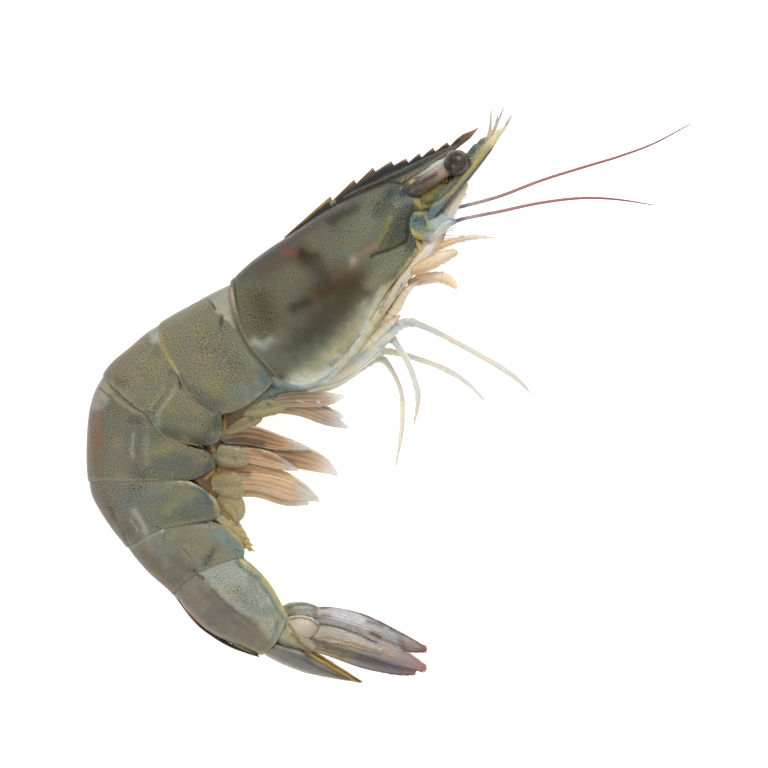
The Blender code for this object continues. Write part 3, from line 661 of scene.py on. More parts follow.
carapace = {
    "back": [
        (-29.5, 21.8), (-25.9, 25.2), (-22.1, 28), (-18.3, 30.5), (-14.5, 33.2), (-10.7, 35.6),
        (-6.9, 37.5), (-3.1, 39.2), (0.7, 40.6), (3.3, 40.2),
    ],
    "edge": [
        (-20.2, 2.6), (-16.4, 1.6), (-12.4, 2.8), (-8.8, 5.8), (-5.6, 9.6), (-3.1, 13.6), (-1, 17.8),
        (1.6, 21.6), (4.5, 24.8), (6.4, 28),
    ],
    "halfWidths": [7.6, 8, 8.2, 8.1, 7.8, 7.3, 6.7, 6, 5.2, 4.3],
    "rearSweep": -0.62,
    "frontWave": 0.32,
    "rows": 300,
    "columns": 300,
    "lips": {
        "start": [(0.25, -1.3), (0.1, -0.5), (0.03, -0.3), (-0.015, -0.2), (-0.03, -0.1), (-0.02, -0.03)],
        "end": [(0.03, -0.06), (0.05, -0.2), (0.03, -0.34), (-0.04, -0.45), (-0.4, -1.2)],
    },
    "colour": 0x676556,
    "specks": 0.7,
    "rearLine": 0x36322a,
    "rearRim": 0xaca286,
    # the ridge's dark brown, partly painted shade
    "ridgeBrownAndShade": 0x383029,
    "bellyColour": 0xb2a88e,
    "marks": {
        "dorsalBrown": stroke([240, 270, 262, 255, 290, 236, 318, 214], 2.2, 0x4a4038, 0.82, -0.4),
        "rearGreen": stroke([247, 292, 252, 315, 258, 330], 2.3, 0x626150, 0.7, 0.3),
        "rearDense": stroke([262, 300, 268, 318], 2.6, 0x4e4734, 0.75, 0.35),
        "redHaze": stroke([262, 272, 282, 260, 300, 252], 1.7, 0x58463a, 0.6, -0.3),
        "redSpot": stroke([286, 250, 293, 253, 298, 256], 0.8, 0x804e3a, 0.75, -0.3),
        "darkPatch": stroke([303, 254, 315, 257], 1.35, 0x1e1511, 0.88),
        "brownFleck": stroke([319, 252], 0.55, 0x704a30, 0.6),
        "darkBlur": stroke([332, 221, 344, 214, 357, 208], 1.35, 0x282a24, 0.85, -0.1),
        "darkBlurLow": stroke([338, 231], 0.9, 0x404038, 0.65),
        "brownZone": stroke([322, 291, 338, 285, 354, 283], 3.2, 0x463121, 0.9, -0.5),
        "brownLow": stroke([300, 352, 312, 334, 326, 318, 345, 300], 3.6, 0x443f2e, 0.85, -0.5),
        "greyLow": stroke([345, 322, 362, 300], 2, 0x544e3a, 0.7, -0.2),
        "darkGreen": stroke([294, 308, 306, 303], 1.3, 0x2c2920, 0.75),
        "darkSide": stroke([306, 262, 318, 268, 326, 278], 1.5, 0x342e26, 0.65),
        "paleFront": stroke([350, 245, 366, 222, 384, 204], 3, 0x707363, 0.85, 0.3),
        "paleMiddle": stroke([320, 245, 345, 232], 2.2, 0x666556, 0.6, 0.2),
        "pinkWash": stroke([334, 276, 346, 266], 1.1, 0x6a5446, 0.4, -0.3),
        "pinkSpot": stroke([353, 260], 0.95, 0xa09380, 0.9, -0.6),
        "pinkStreak": stroke([359, 256, 367, 250, 375, 245], 0.6, 0x867061, 0.8, -0.5),
        "cheekDense": patch(
            [384, 251, 390, 228, 400, 208, 413, 201, 410, 226, 405, 242],
            0.35, 0x464942, 0.85, 0.5),
        "cheekLow": stroke([380, 268, 396, 258, 404, 252], 2, 0x767566, 0.7, 0.2),
        "blackDots": stroke([411, 240, 415, 247], 1.3, 0x545852, 0.8, 0.9),
        "yellowRidge": stroke([377, 246, 383, 236, 390, 219], 0.5, 0x847c4e, 0.85, -0.4, rise=0.1),
        "ridgeShade": stroke([380, 247, 386, 236, 392, 222], 0.3, 0x4c4a3c, 0.6, rise=-0.06),
        "groove": stroke(
            [371, 256, 384, 251, 398, 247, 405, 242, 408, 231],
            0.34, 0x342f22, 0.95, rise=-0.12),
        "grooveLip": stroke([376, 259, 390, 254, 403, 249], 0.4, 0x88826c, 0.4),
        "lateralLine": stroke([372, 301, 360, 313, 345, 321, 331, 328], 0.3, 0x4c524c, 0.7, rise=-0.07),
        # painted highlight: a whitish spot where the shell reflects the light, with a fainter painted sheen
        # round it
        "paintedHighlight": stroke([254, 342, 262, 345, 271, 341], 0.9, 0xb0b4a8, 0.7, -0.6),
        "paintedHighlightVeil": stroke([262, 352, 280, 337], 1.3, 0x7a7664, 0.4, -0.5),
        "lowGrey": stroke([272, 364, 300, 356, 318, 346], 1.7, 0x686756, 0.75, -0.4),
        "paleLow": stroke([298, 376, 330, 353, 350, 331, 366, 308], 1.7, 0xa09e82, 0.85, -0.7),
        # the low edge's own cream, laid lighter as painted light where the surface turns down into shade
        "creamBorderAndLight": stroke(
            [296, 388, 328, 378, 350, 362, 366, 343, 377, 320, 388, 298],
            2.3, 0xdedcc8, 0.92, -1, edge=3),
        "goldStrandA": stroke([318, 364, 336, 350, 351, 337, 360, 322], 0.45, 0xbcae76, 0.7, rise=0.04),
        "goldStrandB": stroke([330, 366, 346, 352, 360, 338], 0.36, 0x7c7252, 0.6, rise=-0.05),
        "creamPatch": stroke([330, 358, 338, 356], 0.8, 0xc4bea4, 0.7),
        "blueRear": stroke([258, 366, 266, 376, 276, 384], 0.9, 0x5c7478, 0.7, -0.4),
        "blueEdge": stroke([276, 386, 300, 390, 326, 387, 348, 378], 0.5, 0x68888e, 0.65),
        "blueDots": stroke([362, 338, 367, 344, 371, 350], 0.3, 0x466070, 0.7, 0.8),
        # partly the front's own olive-grey, partly painted shade: laid darker because the front curves down
        # into more light
        "frontToneAndShade": stroke([380, 210, 390, 200, 398, 190, 404, 183], 1.9, 0x4c5044, 0.85, 0.6),
        "paleCheek": stroke([372, 284, 386, 270, 398, 262], 1.3, 0x888774, 0.7, 0.3),
        "orangeFleck": stroke([278, 372], 0.35, 0x8c683c, 0.7),
        "creamFront": stroke(
            [417, 250, 409, 262, 396, 279, 384, 291, 379, 302, 371, 320],
            0.42, 0xb0a67e, 0.8, rise=0.08),
        "frontLine": stroke([416, 201, 410, 215, 407, 232], 0.45, 0x2c2e28, 0.8),
        "socketBlue": stroke([391, 195, 398, 196, 403, 193], 0.95, 0x34404c, 0.85, 0.4),
        # painted highlight: a pale grey glint at the top of the eye socket
        "socketHighlight": stroke([400, 189, 405, 185], 0.4, 0x848678, 0.6),
    },
}


def carapacePoint(t, a, grow):
    back, edge = alongCurve(carapace["back"], t), alongCurve(carapace["edge"], t)
    halfWidth = alongCurve(carapace["halfWidths"], t)[..., 0]
    return sectionPoints(back, edge, halfWidth, headMiddle, a, 0.0, grow)


def addCarapace():
    part = shellPart(
        carapacePoint,
        lambda v: carapace["rearSweep"] * bow(v),
        lambda v: len(carapace["back"]) - 1 + carapace["frontWave"] * np.sin(2 * np.pi * v),
        carapace["rows"], carapace["columns"], 0.0, carapace["lips"], carapace["colour"], carapace["specks"],
    )
    rise = paint(part, carapace["marks"], ragged=0.25)
    # a pale rim and a dark line run along the rear edge, and fade away from the back
    dorsal = 1 - ease(part["v"], 0.12, 0.34)
    rim = 1 - ease(part["fromStart"], 0.4, 0.75)
    tone(part, hump(part["fromStart"], 0.9, 0.25) * (0.12 + 0.7 * dorsal), carapace["rearLine"])
    tone(part, rim * (0.12 + 0.7 * dorsal), carapace["rearRim"], -1)
    rise += (0.07 * rim - 0.06 * hump(part["fromStart"], 0.95, 0.3)) * (0.2 + 0.8 * dorsal)
    # the low edge is a raised border with a groove above it, flatter at the rear
    firm = 1 - 0.9 * hump(part["share"], 0.3, 0.35)
    rise += (0.1 * hump(part["fromEdge"], 0.3, 0.3) - 0.07 * hump(part["fromEdge"], 1.0, 0.35)) * firm
    part = finishShell(part, rise, carapace["bellyColour"], 0.04)
    # darkens along the back's ridge: partly its own brown line, partly painted shade against the pale
    # grazing reflection there
    tone(part, 0.85 * (1 - ease(part["v"], 0.0, 0.1)), carapace["ridgeBrownAndShade"], -0.3)
    addPiece("carapaceShell", [part], "shell", ["carapace"])


addCarapace()
print("carapace ready")


abdomen = {
    "back": [
        (-29.5, 21.2), (-35.4, 18.1), (-42.7, 14), (-48.5, 9.4), (-53.7, 4.3), (-56.7, -4.1),
        (-56.9, -15.9), (-54.2, -22.7), (-49.7, -28.8), (-45.3, -33.9), (-40.8, -37.9), (-33.9, -45.1),
        (-24.4, -49.3),
    ],
    "belly": [
        (-20.6, 2.8), (-26.7, -1.4), (-31.3, -3.9), (-34.1, -6.4), (-35.4, -9.6), (-37.3, -12.6),
        (-38.1, -16.2), (-36.6, -20.2), (-33.5, -24), (-30.1, -27.5), (-27.1, -30.7), (-22.5, -35.8),
        (-18.9, -41.9),
    ],
    "halfWidths": [7.4, 7.5, 7.5, 7.4, 7.2, 6.9, 6.6, 6.3, 5.9, 5.5, 5.1, 4.6, 3.9],
    "sweeps": [0.2, 0.22, 0.1, 0, -0.12, -0.13, 0.05],
    "sags": [0, 0.13, 0.2, 0, 0, 0, 0],
    "steps": [0.1, 0.24, 0.24, 0.2, 0.2, 0.24],  # how far each ring's front lies under the one before it
    "lobeDepths": [0.8, 3.4, 4.7, 4.1, 2.3, 0.3],
    "lobeSkews": [1, 0.9, 0.65, 1.35, 1, 1],
    "lobeFullness": [0.8, 0.8, 0.36, 0.45, 0.7, 0.8],  # powers below 1 square the lobes
    "keel": [
        (-40.6, -37.5, 4.9, 0.12, 0.3), (-39, -39.6, 4.85, 0.3, 0.4), (-37.1, -42.1, 4.8, 0.34, 0.45),
        (-35.2, -44.1, 4.75, 0.34, 0.45), (-33.3, -45.5, 4.7, 0.34, 0.45),
        (-31.3, -46.8, 4.6, 0.34, 0.45), (-29.2, -47.9, 4.5, 0.34, 0.45), (-26.9, -48.8, 4.4, 0.3, 0.4),
        (-24.6, -49.7, 4.2, 0.12, 0.15),
    ],
    "keelColours": [
        (0, 0x463a34), (0.1, 0x3c302c), (0.17, 0x70422c), (0.24, 0x965634), (0.34, 0x8e4e2e),
        (0.4, 0x4c362c), (0.45, 0x362c2a), (1, 0x3e322e),
    ],
    "spine": [
        (-29.4, -45.9, 4.6, 1.5, 1.2), (-26.5, -47.8, 4.5, 1.1, 0.9), (-24.2, -49.9, 4.2, 0.08, 0.08),
    ],
    "spineColours": [(0, 0x766c5e), (0.7, 0x685c50), (1, 0x423632)],
    "rows": 130,
    "columns": 280,
    "lips": {
        "start": [
            (0.12, -1.6), (0, -0.9), (-0.07, -0.5), (-0.085, -0.25), (-0.08, -0.12), (-0.04, -0.04),
        ],
        "end": [
            (0.02, -0.03), (0.03, -0.08), (0.028, -0.16), (0.015, -0.24), (-0.06, -0.4), (-0.2, -1.6),
        ],
    },
    "colours": [0x797867, 0x7d7b68, 0x6f6e60, 0x6d6e65, 0x838174, 0xa2a79e],
    "specks": [0.9, 0.85, 0.8, 0.7, 0.55, 0.7],
    "gap": 0.005,  # between rings, in stations
    # size and seed of the clouds, how much, colour and specks
    "blotches": [(3.2, 61, 0.34, 0x92846a, -0.15), (2.6, 67, 0.3, 0x5c625c, 0.15)],
    "rimColour": 0x969078,
    "bellyColour": 0xb0a080,
    # the back's ridge on rings 1 to 5: partly its own brown, partly painted shade
    "ridgeBrownAndShadeTone": (0x5c5147, -0.3),
    "keelTone": (0x483c38, -1),
}

ringMarks = [
    {
        "facet": patch(
            [203, 293, 218, 285, 232, 279, 242, 292, 237, 326, 226, 319, 217, 311],
            0.15, 0xa3a18f, 0.95, -0.6),
        "facetGrey": stroke([212, 298, 222, 296], 0.9, 0x8c8e84, 0.5, 0.3),
        "groove": stroke([203, 294, 211, 303, 218, 312], 0.22, 0x483e32, 0.9, rise=-0.16),
        "creamLine": stroke([217, 311, 226, 318, 235, 327], 0.3, 0xbcb293, 0.85, -0.6, rise=0.1),
        "hingeBlob": stroke([222, 316, 221, 324], (0.35, 0.45), 0x383e44, 0.95, rise=-0.12),
        # painted shadow: a soft dark line below the hinge
        "hingeShadowLine": stroke([219, 327, 213, 337], 0.4, 0x686658, 0.6, rise=-0.05),
        "dorsalBrown": stroke([170, 318, 190, 305, 205, 296], 1.2, 0x8e826e, 0.65, -0.35),
        "dotRows": stroke([180, 345, 200, 340, 212, 350], 3, 0x868169, 0.5, 0.25),
        "greyFront": stroke([218, 345, 226, 362, 232, 378], 2, 0x767667, 0.6, 0.2),
        "yellowGreen": stroke([205, 384, 218, 388], 2, 0x888363, 0.8, -0.1),
        "darkLow": stroke([194, 391, 204, 399, 218, 408], 1.3, 0x626356, 0.8),
        "rearRidge": stroke(
            [157, 333, 163, 350, 171, 363, 178, 373],
            0.42, 0xb8a46a, 0.9, -1, edge=3, rise=0.1),
        # painted shade along the lower part of the joint to the next ring
        "rearDark": stroke([181, 377, 190, 394, 203, 407, 218, 414], 0.5, 0x4c4e44, 0.75),
        "paleEdge": stroke([186, 396, 196, 411, 212, 420, 232, 416], 0.9, 0x888672, 0.6),
        "blueLow": stroke([244, 396, 256, 388, 262, 378], 2.4, 0x7a827a, 0.8, -0.5),
        "blueSpots": stroke([258, 372, 264, 380], 0.9, 0x546a70, 0.7),
        "paleLow": stroke([248, 403, 262, 396], 0.8, 0x969482, 0.6, -0.5),
        "frontBand": stroke([238, 330, 246, 348, 258, 366], 0.8, 0x8e8c76, 0.6, -0.5),
    },
    {
        "facet": patch(
            [146, 330, 152, 322, 163, 319, 165, 333, 161, 341, 152, 343],
            0.15, 0xa7a798, 0.95, -0.9),
        "ridge": stroke([160, 341, 166, 354, 173, 366, 176, 371], 0.34, 0xb6a676, 0.9, -0.8, rise=0.12),
        "hingeOrange": stroke([175, 369, 180, 377], 0.33, 0x9c744a, 0.85),
        "hingeWedge": stroke([179, 370, 181, 378, 181, 388], 0.3, 0x3a3a32, 0.9, rise=-0.16),
        "hingeShade": stroke([171, 372], 0.6, 0x565852, 0.75),
        "dorsalBrown": stroke([108, 376, 124, 358, 142, 341], 1.7, 0x7e715f, 0.75, -0.3),
        "darkPatch": stroke([118, 382, 126, 384], 1, 0x645a4a, 0.6, 0.4),
        "midOlive": stroke([145, 355, 156, 368], 2, 0x86826b, 0.6, 0.2),
        "stripe": stroke([170, 386, 161, 400, 153, 411, 151, 420], 0.6, 0x6a6a5c, 0.75, 0.2, rise=-0.08),
        "stripePaleA": stroke([175, 388, 168, 400, 160, 413, 158, 424], 0.38, 0xa4a394, 0.65, rise=0.06),
        "stripePaleB": stroke([164, 388, 154, 402, 148, 412], 0.34, 0x989682, 0.5, rise=0.05),
        "wedge": stroke([147, 413, 150, 421, 154, 435], 0.5, 0x42453a, 0.92, edge=3, rise=-0.15),
        "yellowGreen": stroke([174, 412, 188, 411], 1.7, 0x7e7a5b, 0.85, -0.1),
        "paleOver": stroke([186, 398, 198, 414, 210, 422], 0.8, 0x84826e, 0.5),
        "darkLobe": stroke([163, 432, 184, 440, 204, 440, 217, 424], 1.6, 0x50534a, 0.88, -0.1),
        "paleSpot": stroke([213, 434], 0.9, 0x847e72, 0.75),
        "lobeEdge": stroke([224, 416, 224, 430, 219, 441, 207, 448, 190, 451], 0.28, 0x9c845e, 0.7),
    },
    {
        "facet": patch(
            [86, 404, 92, 388, 103, 376, 111, 391, 104, 406, 95, 412],
            0.2, 0xa29f8e, 0.9, -0.9),
        "facetLine": stroke([98, 387, 104, 392, 110, 397], 0.22, 0x544a3c, 0.8, rise=-0.1),
        "creamLine": stroke(
            [106, 384, 113, 396, 127, 406, 147, 417],
            0.34, 0xa09474, 0.75, -0.5, rise=0.08),
        "dorsalBrown": stroke([94, 420, 91, 440, 94, 466], 2, 0x7f6d5b, 0.75, -0.4),
        "redStripe": stroke([100, 412, 98, 430, 99, 450], 0.6, 0x8c6c52, 0.6),
        "darkDots": stroke([129, 420, 138, 421], 0.8, 0x58564a, 0.7, 0.5),
        "hingeBrown": stroke([146, 417, 149, 422], 0.35, 0x805c44, 0.6),
        "stripe": stroke([141, 432, 138, 450, 138, 478], 0.75, 0x686858, 0.8, rise=-0.07),
        "stripePaleA": stroke([134, 434, 132, 446, 133, 458], 0.36, 0x98998a, 0.7, rise=0.05),
        "stripePaleB": stroke([146, 438, 147, 452, 149, 464], 0.6, 0x8a8a7e, 0.65, rise=0.05),
        "darkRear": stroke([132, 474, 142, 476], 0.8, 0x54564e, 0.75, 0.4),
        "yellowGreen": stroke([158, 452, 173, 447], 1.3, 0x868262, 0.85),
        "darkBand": stroke([160, 467, 178, 464, 197, 462], 1.6, 0x66685e, 0.8, -0.2),
        "lobePale": stroke([203, 452], 1, 0x7e7c72, 0.6),
        "lobeDark": stroke([211, 449, 213, 460, 206, 473], 0.7, 0x525654, 0.75),
        "lobeEdge": stroke([217, 448, 218, 461, 212, 473, 203, 480], 0.28, 0xa68a5e, 0.7),
    },
    {
        "frontPale": stroke([84, 480, 110, 481, 150, 481, 180, 482], 0.5, 0x8e8877, 0.75, -0.5),
        "dorsalGrey": stroke([93, 492, 106, 520, 122, 542], 2.2, 0x776d5e, 0.8, -0.5),
        "dorsalLine": stroke([107, 505, 116, 520, 124, 537, 129, 545], 0.36, 0x5c5345, 0.7, rise=-0.06),
        "darkDots": stroke([113, 490, 128, 493, 143, 487], 1.9, 0x707163, 0.6, 0.6),
        "greyTop": stroke([150, 490, 168, 488], 1.5, 0x828377, 0.6, -0.2),
        # painted highlights: pale streaks of reflected light on the ring's side
        "highlightStreakA": stroke([134, 511, 141, 522, 148, 537], 0.55, 0xa2a092, 0.85, -0.4),
        "highlightStreakB": stroke([130, 520, 138, 532], 0.25, 0x9c988a, 0.7),
        "midOlive": stroke([150, 508, 156, 520], 1.8, 0x7e7c6a, 0.6),
        "yellowGreen": stroke([168, 509, 180, 498, 194, 491], 1.5, 0x838467, 0.85, -0.1),
        "darkStripe": stroke([168, 522, 186, 515, 207, 517], 1, 0x62665a, 0.85),
        "lobeBlue": stroke([203, 499, 211, 508, 210, 517], 1.5, 0x646c66, 0.85, -0.2),
        "lobeInner": stroke([186, 486, 198, 490, 206, 497, 212, 510], 0.35, 0x505a5c, 0.65),
        "lobeRim": stroke(
            [181, 481, 197, 485, 207, 491, 215, 502, 219, 519],
            0.34, 0xbeb68e, 0.9, -1, rise=0.06),
        "hingeBrown": stroke([158, 527, 162, 529, 165, 532], 0.34, 0x543626, 0.9, rise=-0.1),
    },
    {
        "dorsalGrey": stroke([136, 552, 156, 572, 173, 590], 2.9, 0x776d5c, 0.85, -0.8),
        "smoothPale": stroke([150, 545, 175, 547], 2, 0x848070, 0.6, -0.4),
        "brownPanel": stroke([178, 562, 190, 572, 184, 582], 1.5, 0x70695a, 0.75),
        "oliveTop": stroke([172, 526, 186, 530], 1.3, 0x787868, 0.6),
        "yellowGreen": stroke([197, 549, 205, 539, 213, 529], 1.2, 0x848362, 0.85),
        "darkDots": stroke([207, 563, 212, 552, 219, 543], 0.8, 0x4c5452, 0.8, 0.8),
        "blueLobe": stroke([220, 537, 233, 545, 241, 553], 1.9, 0x7e8d85, 0.9, -0.5),
        "lobeRim": stroke([218, 519, 229, 529, 240, 541, 247, 553], 0.36, 0xbcac70, 0.9, -1),
        "scratch": stroke([183, 549, 190, 556], 0.16, 0x624e40, 0.8),
        "paleFront": stroke([132, 548, 150, 537, 160, 531], 0.3, 0x9e9a8a, 0.6),
        "crease": stroke([164, 532, 165, 545], 0.22, 0x6c6a5c, 0.5, rise=-0.05),
        "hingeWhite": stroke([163, 530], 0.3, 0xd6d2c6, 0.95, rise=0.08),
        "hingeBrown": stroke([194, 571, 198, 573], 0.4, 0x482e20, 0.9, rise=-0.1),
    },
    {
        "backSmooth": patch(
            [166, 588, 190, 574, 203, 577, 230, 603, 257, 622, 271, 644, 258, 662, 220, 650, 190, 622],
            0.2, 0x857b6b, 0.97, -1),
        "backShade": stroke([200, 590, 225, 612, 250, 634], 0.9, 0x70685a, 0.6),
        "carina": stroke(
            [202, 577, 216, 590, 230, 603, 243, 612, 257, 622, 271, 642],
            0.42, 0xa4a090, 0.75, -0.6, rise=0.2),
        "carinaSide": stroke([212, 590, 228, 606, 254, 626], 0.3, 0x686256, 0.6, rise=-0.05),
        "paleUpper": stroke([262, 590, 274, 606, 272, 622], 1.7, 0xa6aa9b, 0.8, -0.1),
        "blueDots": stroke([238, 590, 246, 602], 1.3, 0x808a86, 0.7, 0.4),
        "redFleck": stroke([252, 615, 257, 622], 0.2, 0x84543e, 0.35),
        "rimGreen": stroke([236, 562, 260, 582, 275, 604, 283, 619], 0.34, 0x687466, 0.7),
        "rimYellow": stroke([240, 559, 262, 577, 279, 601, 288, 618], 0.3, 0xceba6e, 0.95, -1, rise=0.1),
        "rimPale": stroke([246, 556, 268, 577, 284, 601, 290, 615], 0.3, 0xceccb0, 0.85, -1),
        "rearDark": stroke([278, 622, 274, 636, 268, 644], 0.5, 0x686a5c, 0.7),
        "rearBlue": stroke([272, 630, 277, 638], 0.6, 0x8c9694, 0.7),
        "hingeWhite": stroke([199, 574], 0.26, 0xd4d0c4, 0.9, rise=0.06),
        "hingeWedge": stroke([197, 573, 203, 579], 0.3, 0x3e2e22, 0.9, rise=-0.08),
    },
]


def abdomenPoint(ring):
    def pointAt(t, a, grow):
        back, belly = alongCurve(abdomen["back"], 2 * t), alongCurve(abdomen["belly"], 2 * t)
        halfWidth = alongCurve(abdomen["halfWidths"], 2 * t)[..., 0]
        along = np.clip(t - ring, 0, 1) ** abdomen["lobeSkews"][ring]
        arch = np.maximum(np.sin(np.pi * along), 0) ** abdomen["lobeFullness"][ring]
        lobe = abdomen["lobeDepths"][ring] * arch
        return sectionPoints(back, belly, halfWidth, halfWidth - bodySizes["pressed"], a, lobe, grow)

    return pointAt


def addRing(ring):
    gap = abdomen["gap"]
    part = shellPart(
        abdomenPoint(ring),
        lambda v: ring + jointAt(ring, v) + gap,
        lambda v: ring + 1 + jointAt(ring + 1, v) + gap,
        abdomen["rows"], abdomen["columns"], abdomen["steps"][ring], abdomen["lips"],
        abdomen["colours"][ring], abdomen["specks"][ring],
    )
    rise = paint(part, ringMarks[ring], ragged=0.22)
    for size, seed, much, colour, specks in abdomen["blotches"]:
        tone(part, much * ease(clouds(part["points"], size, seed), 0.05, 0.7), colour, specks)
    tone(part, 0.3 * (1 - ease(part["fromEnd"], 0.1, 0.45)), abdomen["rimColour"], -0.5)
    rise += 0.03 * (1 - ease(part["fromEnd"], 0.3, 0.6))
    rise += 0.08 * hump(part["fromEdge"], 0.2, 0.25) - 0.05 * hump(part["fromEdge"], 0.8, 0.3)
    isLast = ring == len(ringMarks) - 1
    if isLast:
        rise += 0.12 * hump(part["fromBack"], 0, 0.5)
    # on the last ring the keel's own dark tone; on the others the ridge's brown with painted shade
    ridge = 0.8 * hump(part["fromBack"], 0, 0.8) if isLast else 0.5 * (1 - ease(part["v"], 0.0, 0.08))
    part = finishShell(part, rise, abdomen["bellyColour"], 0.05)
    tone(part, ridge, *abdomen["keelTone" if isLast else "ridgeBrownAndShadeTone"])
    parts = [part]
    if isLast:
        parts.append(finishLimb(limbPart(abdomen["keel"], 160, 20, abdomen["keelColours"])))
        parts.append(finishLimb(limbPart(abdomen["spine"], 40, 24, abdomen["spineColours"])))
    addPiece(f"ringShell{ring + 1}", parts, "shell", [f"abdomen_segment_{ring + 1}"])


crest = {
    "start": (-19.5, 29.9),
    "toothTips": [
        (-10.7, 37.7), (-6.2, 40.9), (-2.6, 43.2), (0.9, 44.4), (3.7, 44.9), (6.2, 45.9), (8.8, 47),
        (11.5, 48),
    ],
    "toothHeight": 0.95,
    "tip": [(13.2, 48.5), (14.5, 49.5), (16.1, 50.1), (17.6, 50.8)],
    "underside": [
        (-18.3, 28.2), (-14.5, 31.1), (-6.9, 35.6), (1, 38.6), (4.8, 40.9), (8.3, 43.1), (11.3, 45.3),
        (14, 47.2), (15.9, 48.7), (17.55, 50.7),
    ],
    "way": (0.871, 0.491),  # along the crest, from the rear to the tip
    "halfThickness": 0.62,
    "columns": 64,
    "marks": {
        "blueBand": stroke(
            [287, 236, 318, 213, 340, 200, 360, 187, 385, 172, 404, 165, 424, 157, 447, 147, 468, 137],
            0.7, 0x262b32, 0.95, edge=3),
        "goldLine": stroke([290, 232, 312, 214, 328, 200], 0.2, 0xb08c42, 0.9, rise=0.05),
        "darkRear": stroke([288, 234, 312, 218, 327, 207, 345, 199], 0.5, 0x3e3434, 0.9),
        "oliveLine": stroke(
            [344, 197, 358, 190, 372, 184, 392, 175, 406, 168, 422, 160, 440, 152, 452, 146],
            0.17, 0x706c58, 0.85, rise=0.05),
        "lowBand": stroke(
            [366, 190, 388, 180, 405, 173, 420, 166, 437, 158, 455, 149],
            0.36, 0x2e3238, 0.9),
        "pinkBand": stroke(
            [382, 191, 402, 180.5, 420, 171, 438, 160, 454, 150, 466, 142, 476, 133],
            0.55, 0x928476, 0.9, 0.9, rise=0.1),
        "edgeLine": stroke([408, 184, 420, 177, 432, 168, 444, 159, 458, 149], 0.18, 0xbeac80, 0.85),
        "brownTip": stroke([462, 139, 470, 134, 476, 130], 0.45, 0x766454, 0.7),
        "orangeTip": stroke([475, 130, 481, 127], 0.6, 0xba8454, 0.95),
        "creamNotch": stroke([330, 199, 333, 202], 0.4, 0xcec496, 0.9),
    },
    "notchStep": 0.25,
    "colour": 0x54524c,
    "edgeColour": 0x96704e,
    "tipColour": 0xc49664,
    "bristles": {"count": 7, "length": 0.8, "radius": 0.045, "colour": 0xb2a06e},
}

headCore = {
    "line": [
        (0.4, 34.5, 7.85, 3.4, 3.6), (3.7, 35.6, 7.85, 4.1, 3.8), (7.4, 36.2, 7.85, 3.3, 3.2),
        (11.4, 39.4, 7.85, 1.9, 2), (15.6, 44.2, 7.85, 1.1, 1.2), (17.6, 46.8, 7.85, 0.5, 0.6),
    ],
    "orbitSkin": [
        (3.3, 39, 8.8, 1, 1.2), (5.6, 40.4, 9.3, 1.05, 1.1), (7.9, 42, 9.6, 0.95, 0.9),
        (10, 43.6, 9.6, 0.85, 0.7), (11.7, 44.9, 9.4, 0.3, 0.3),
    ],
    "cornerSkin": [
        (3.9, 31.4, 10.7, 0.6, 0.7), (5, 29.4, 10.8, 0.9, 0.8), (6.4, 27.6, 10.5, 0.8, 0.7),
        (7.5, 26.5, 10.2, 0.3, 0.3),
    ],
    "cornerColours": [(0, 0x8c845c), (0.5, 0xb0a070), (1, 0xc8b68c)],
    "skinColours": [(0, 0x4a5254), (0.3, 0x767c78), (0.55, 0xa0a29a), (0.8, 0xbac0be), (1, 0xb4b8b6)],
    "skinBands": [(0.3, 0.2, 0x787c80, 0.4, -0.04), (-0.4, 0.25, 0xd6d6ce, 0.5, 0.04)],
    "colours": [(0, 0x545446), (1, 0x6c644c)],
    "marks": {
        "socketBlue": stroke([400, 196, 412, 186], 1.4, 0x48545c, 0.7, 0.8),
        "yellowRim": stroke([408, 199, 416, 202, 422, 206], 0.5, 0xb09e58, 0.7),
    },
}


# points at even steps along each stretch between corners, and their places counted in corners
def straightLine(corners, steps):
    corners = np.array(corners, float)
    places = np.concatenate([np.arange(n) / n + k for k, n in enumerate(steps)] + [[len(corners) - 1]])
    return atPlaces(places, np.arange(len(corners)), corners), places


# each column of a table, interpolated at those places
def atPlaces(places, known, table):
    return np.column_stack([np.interp(places, known, column) for column in table.T])


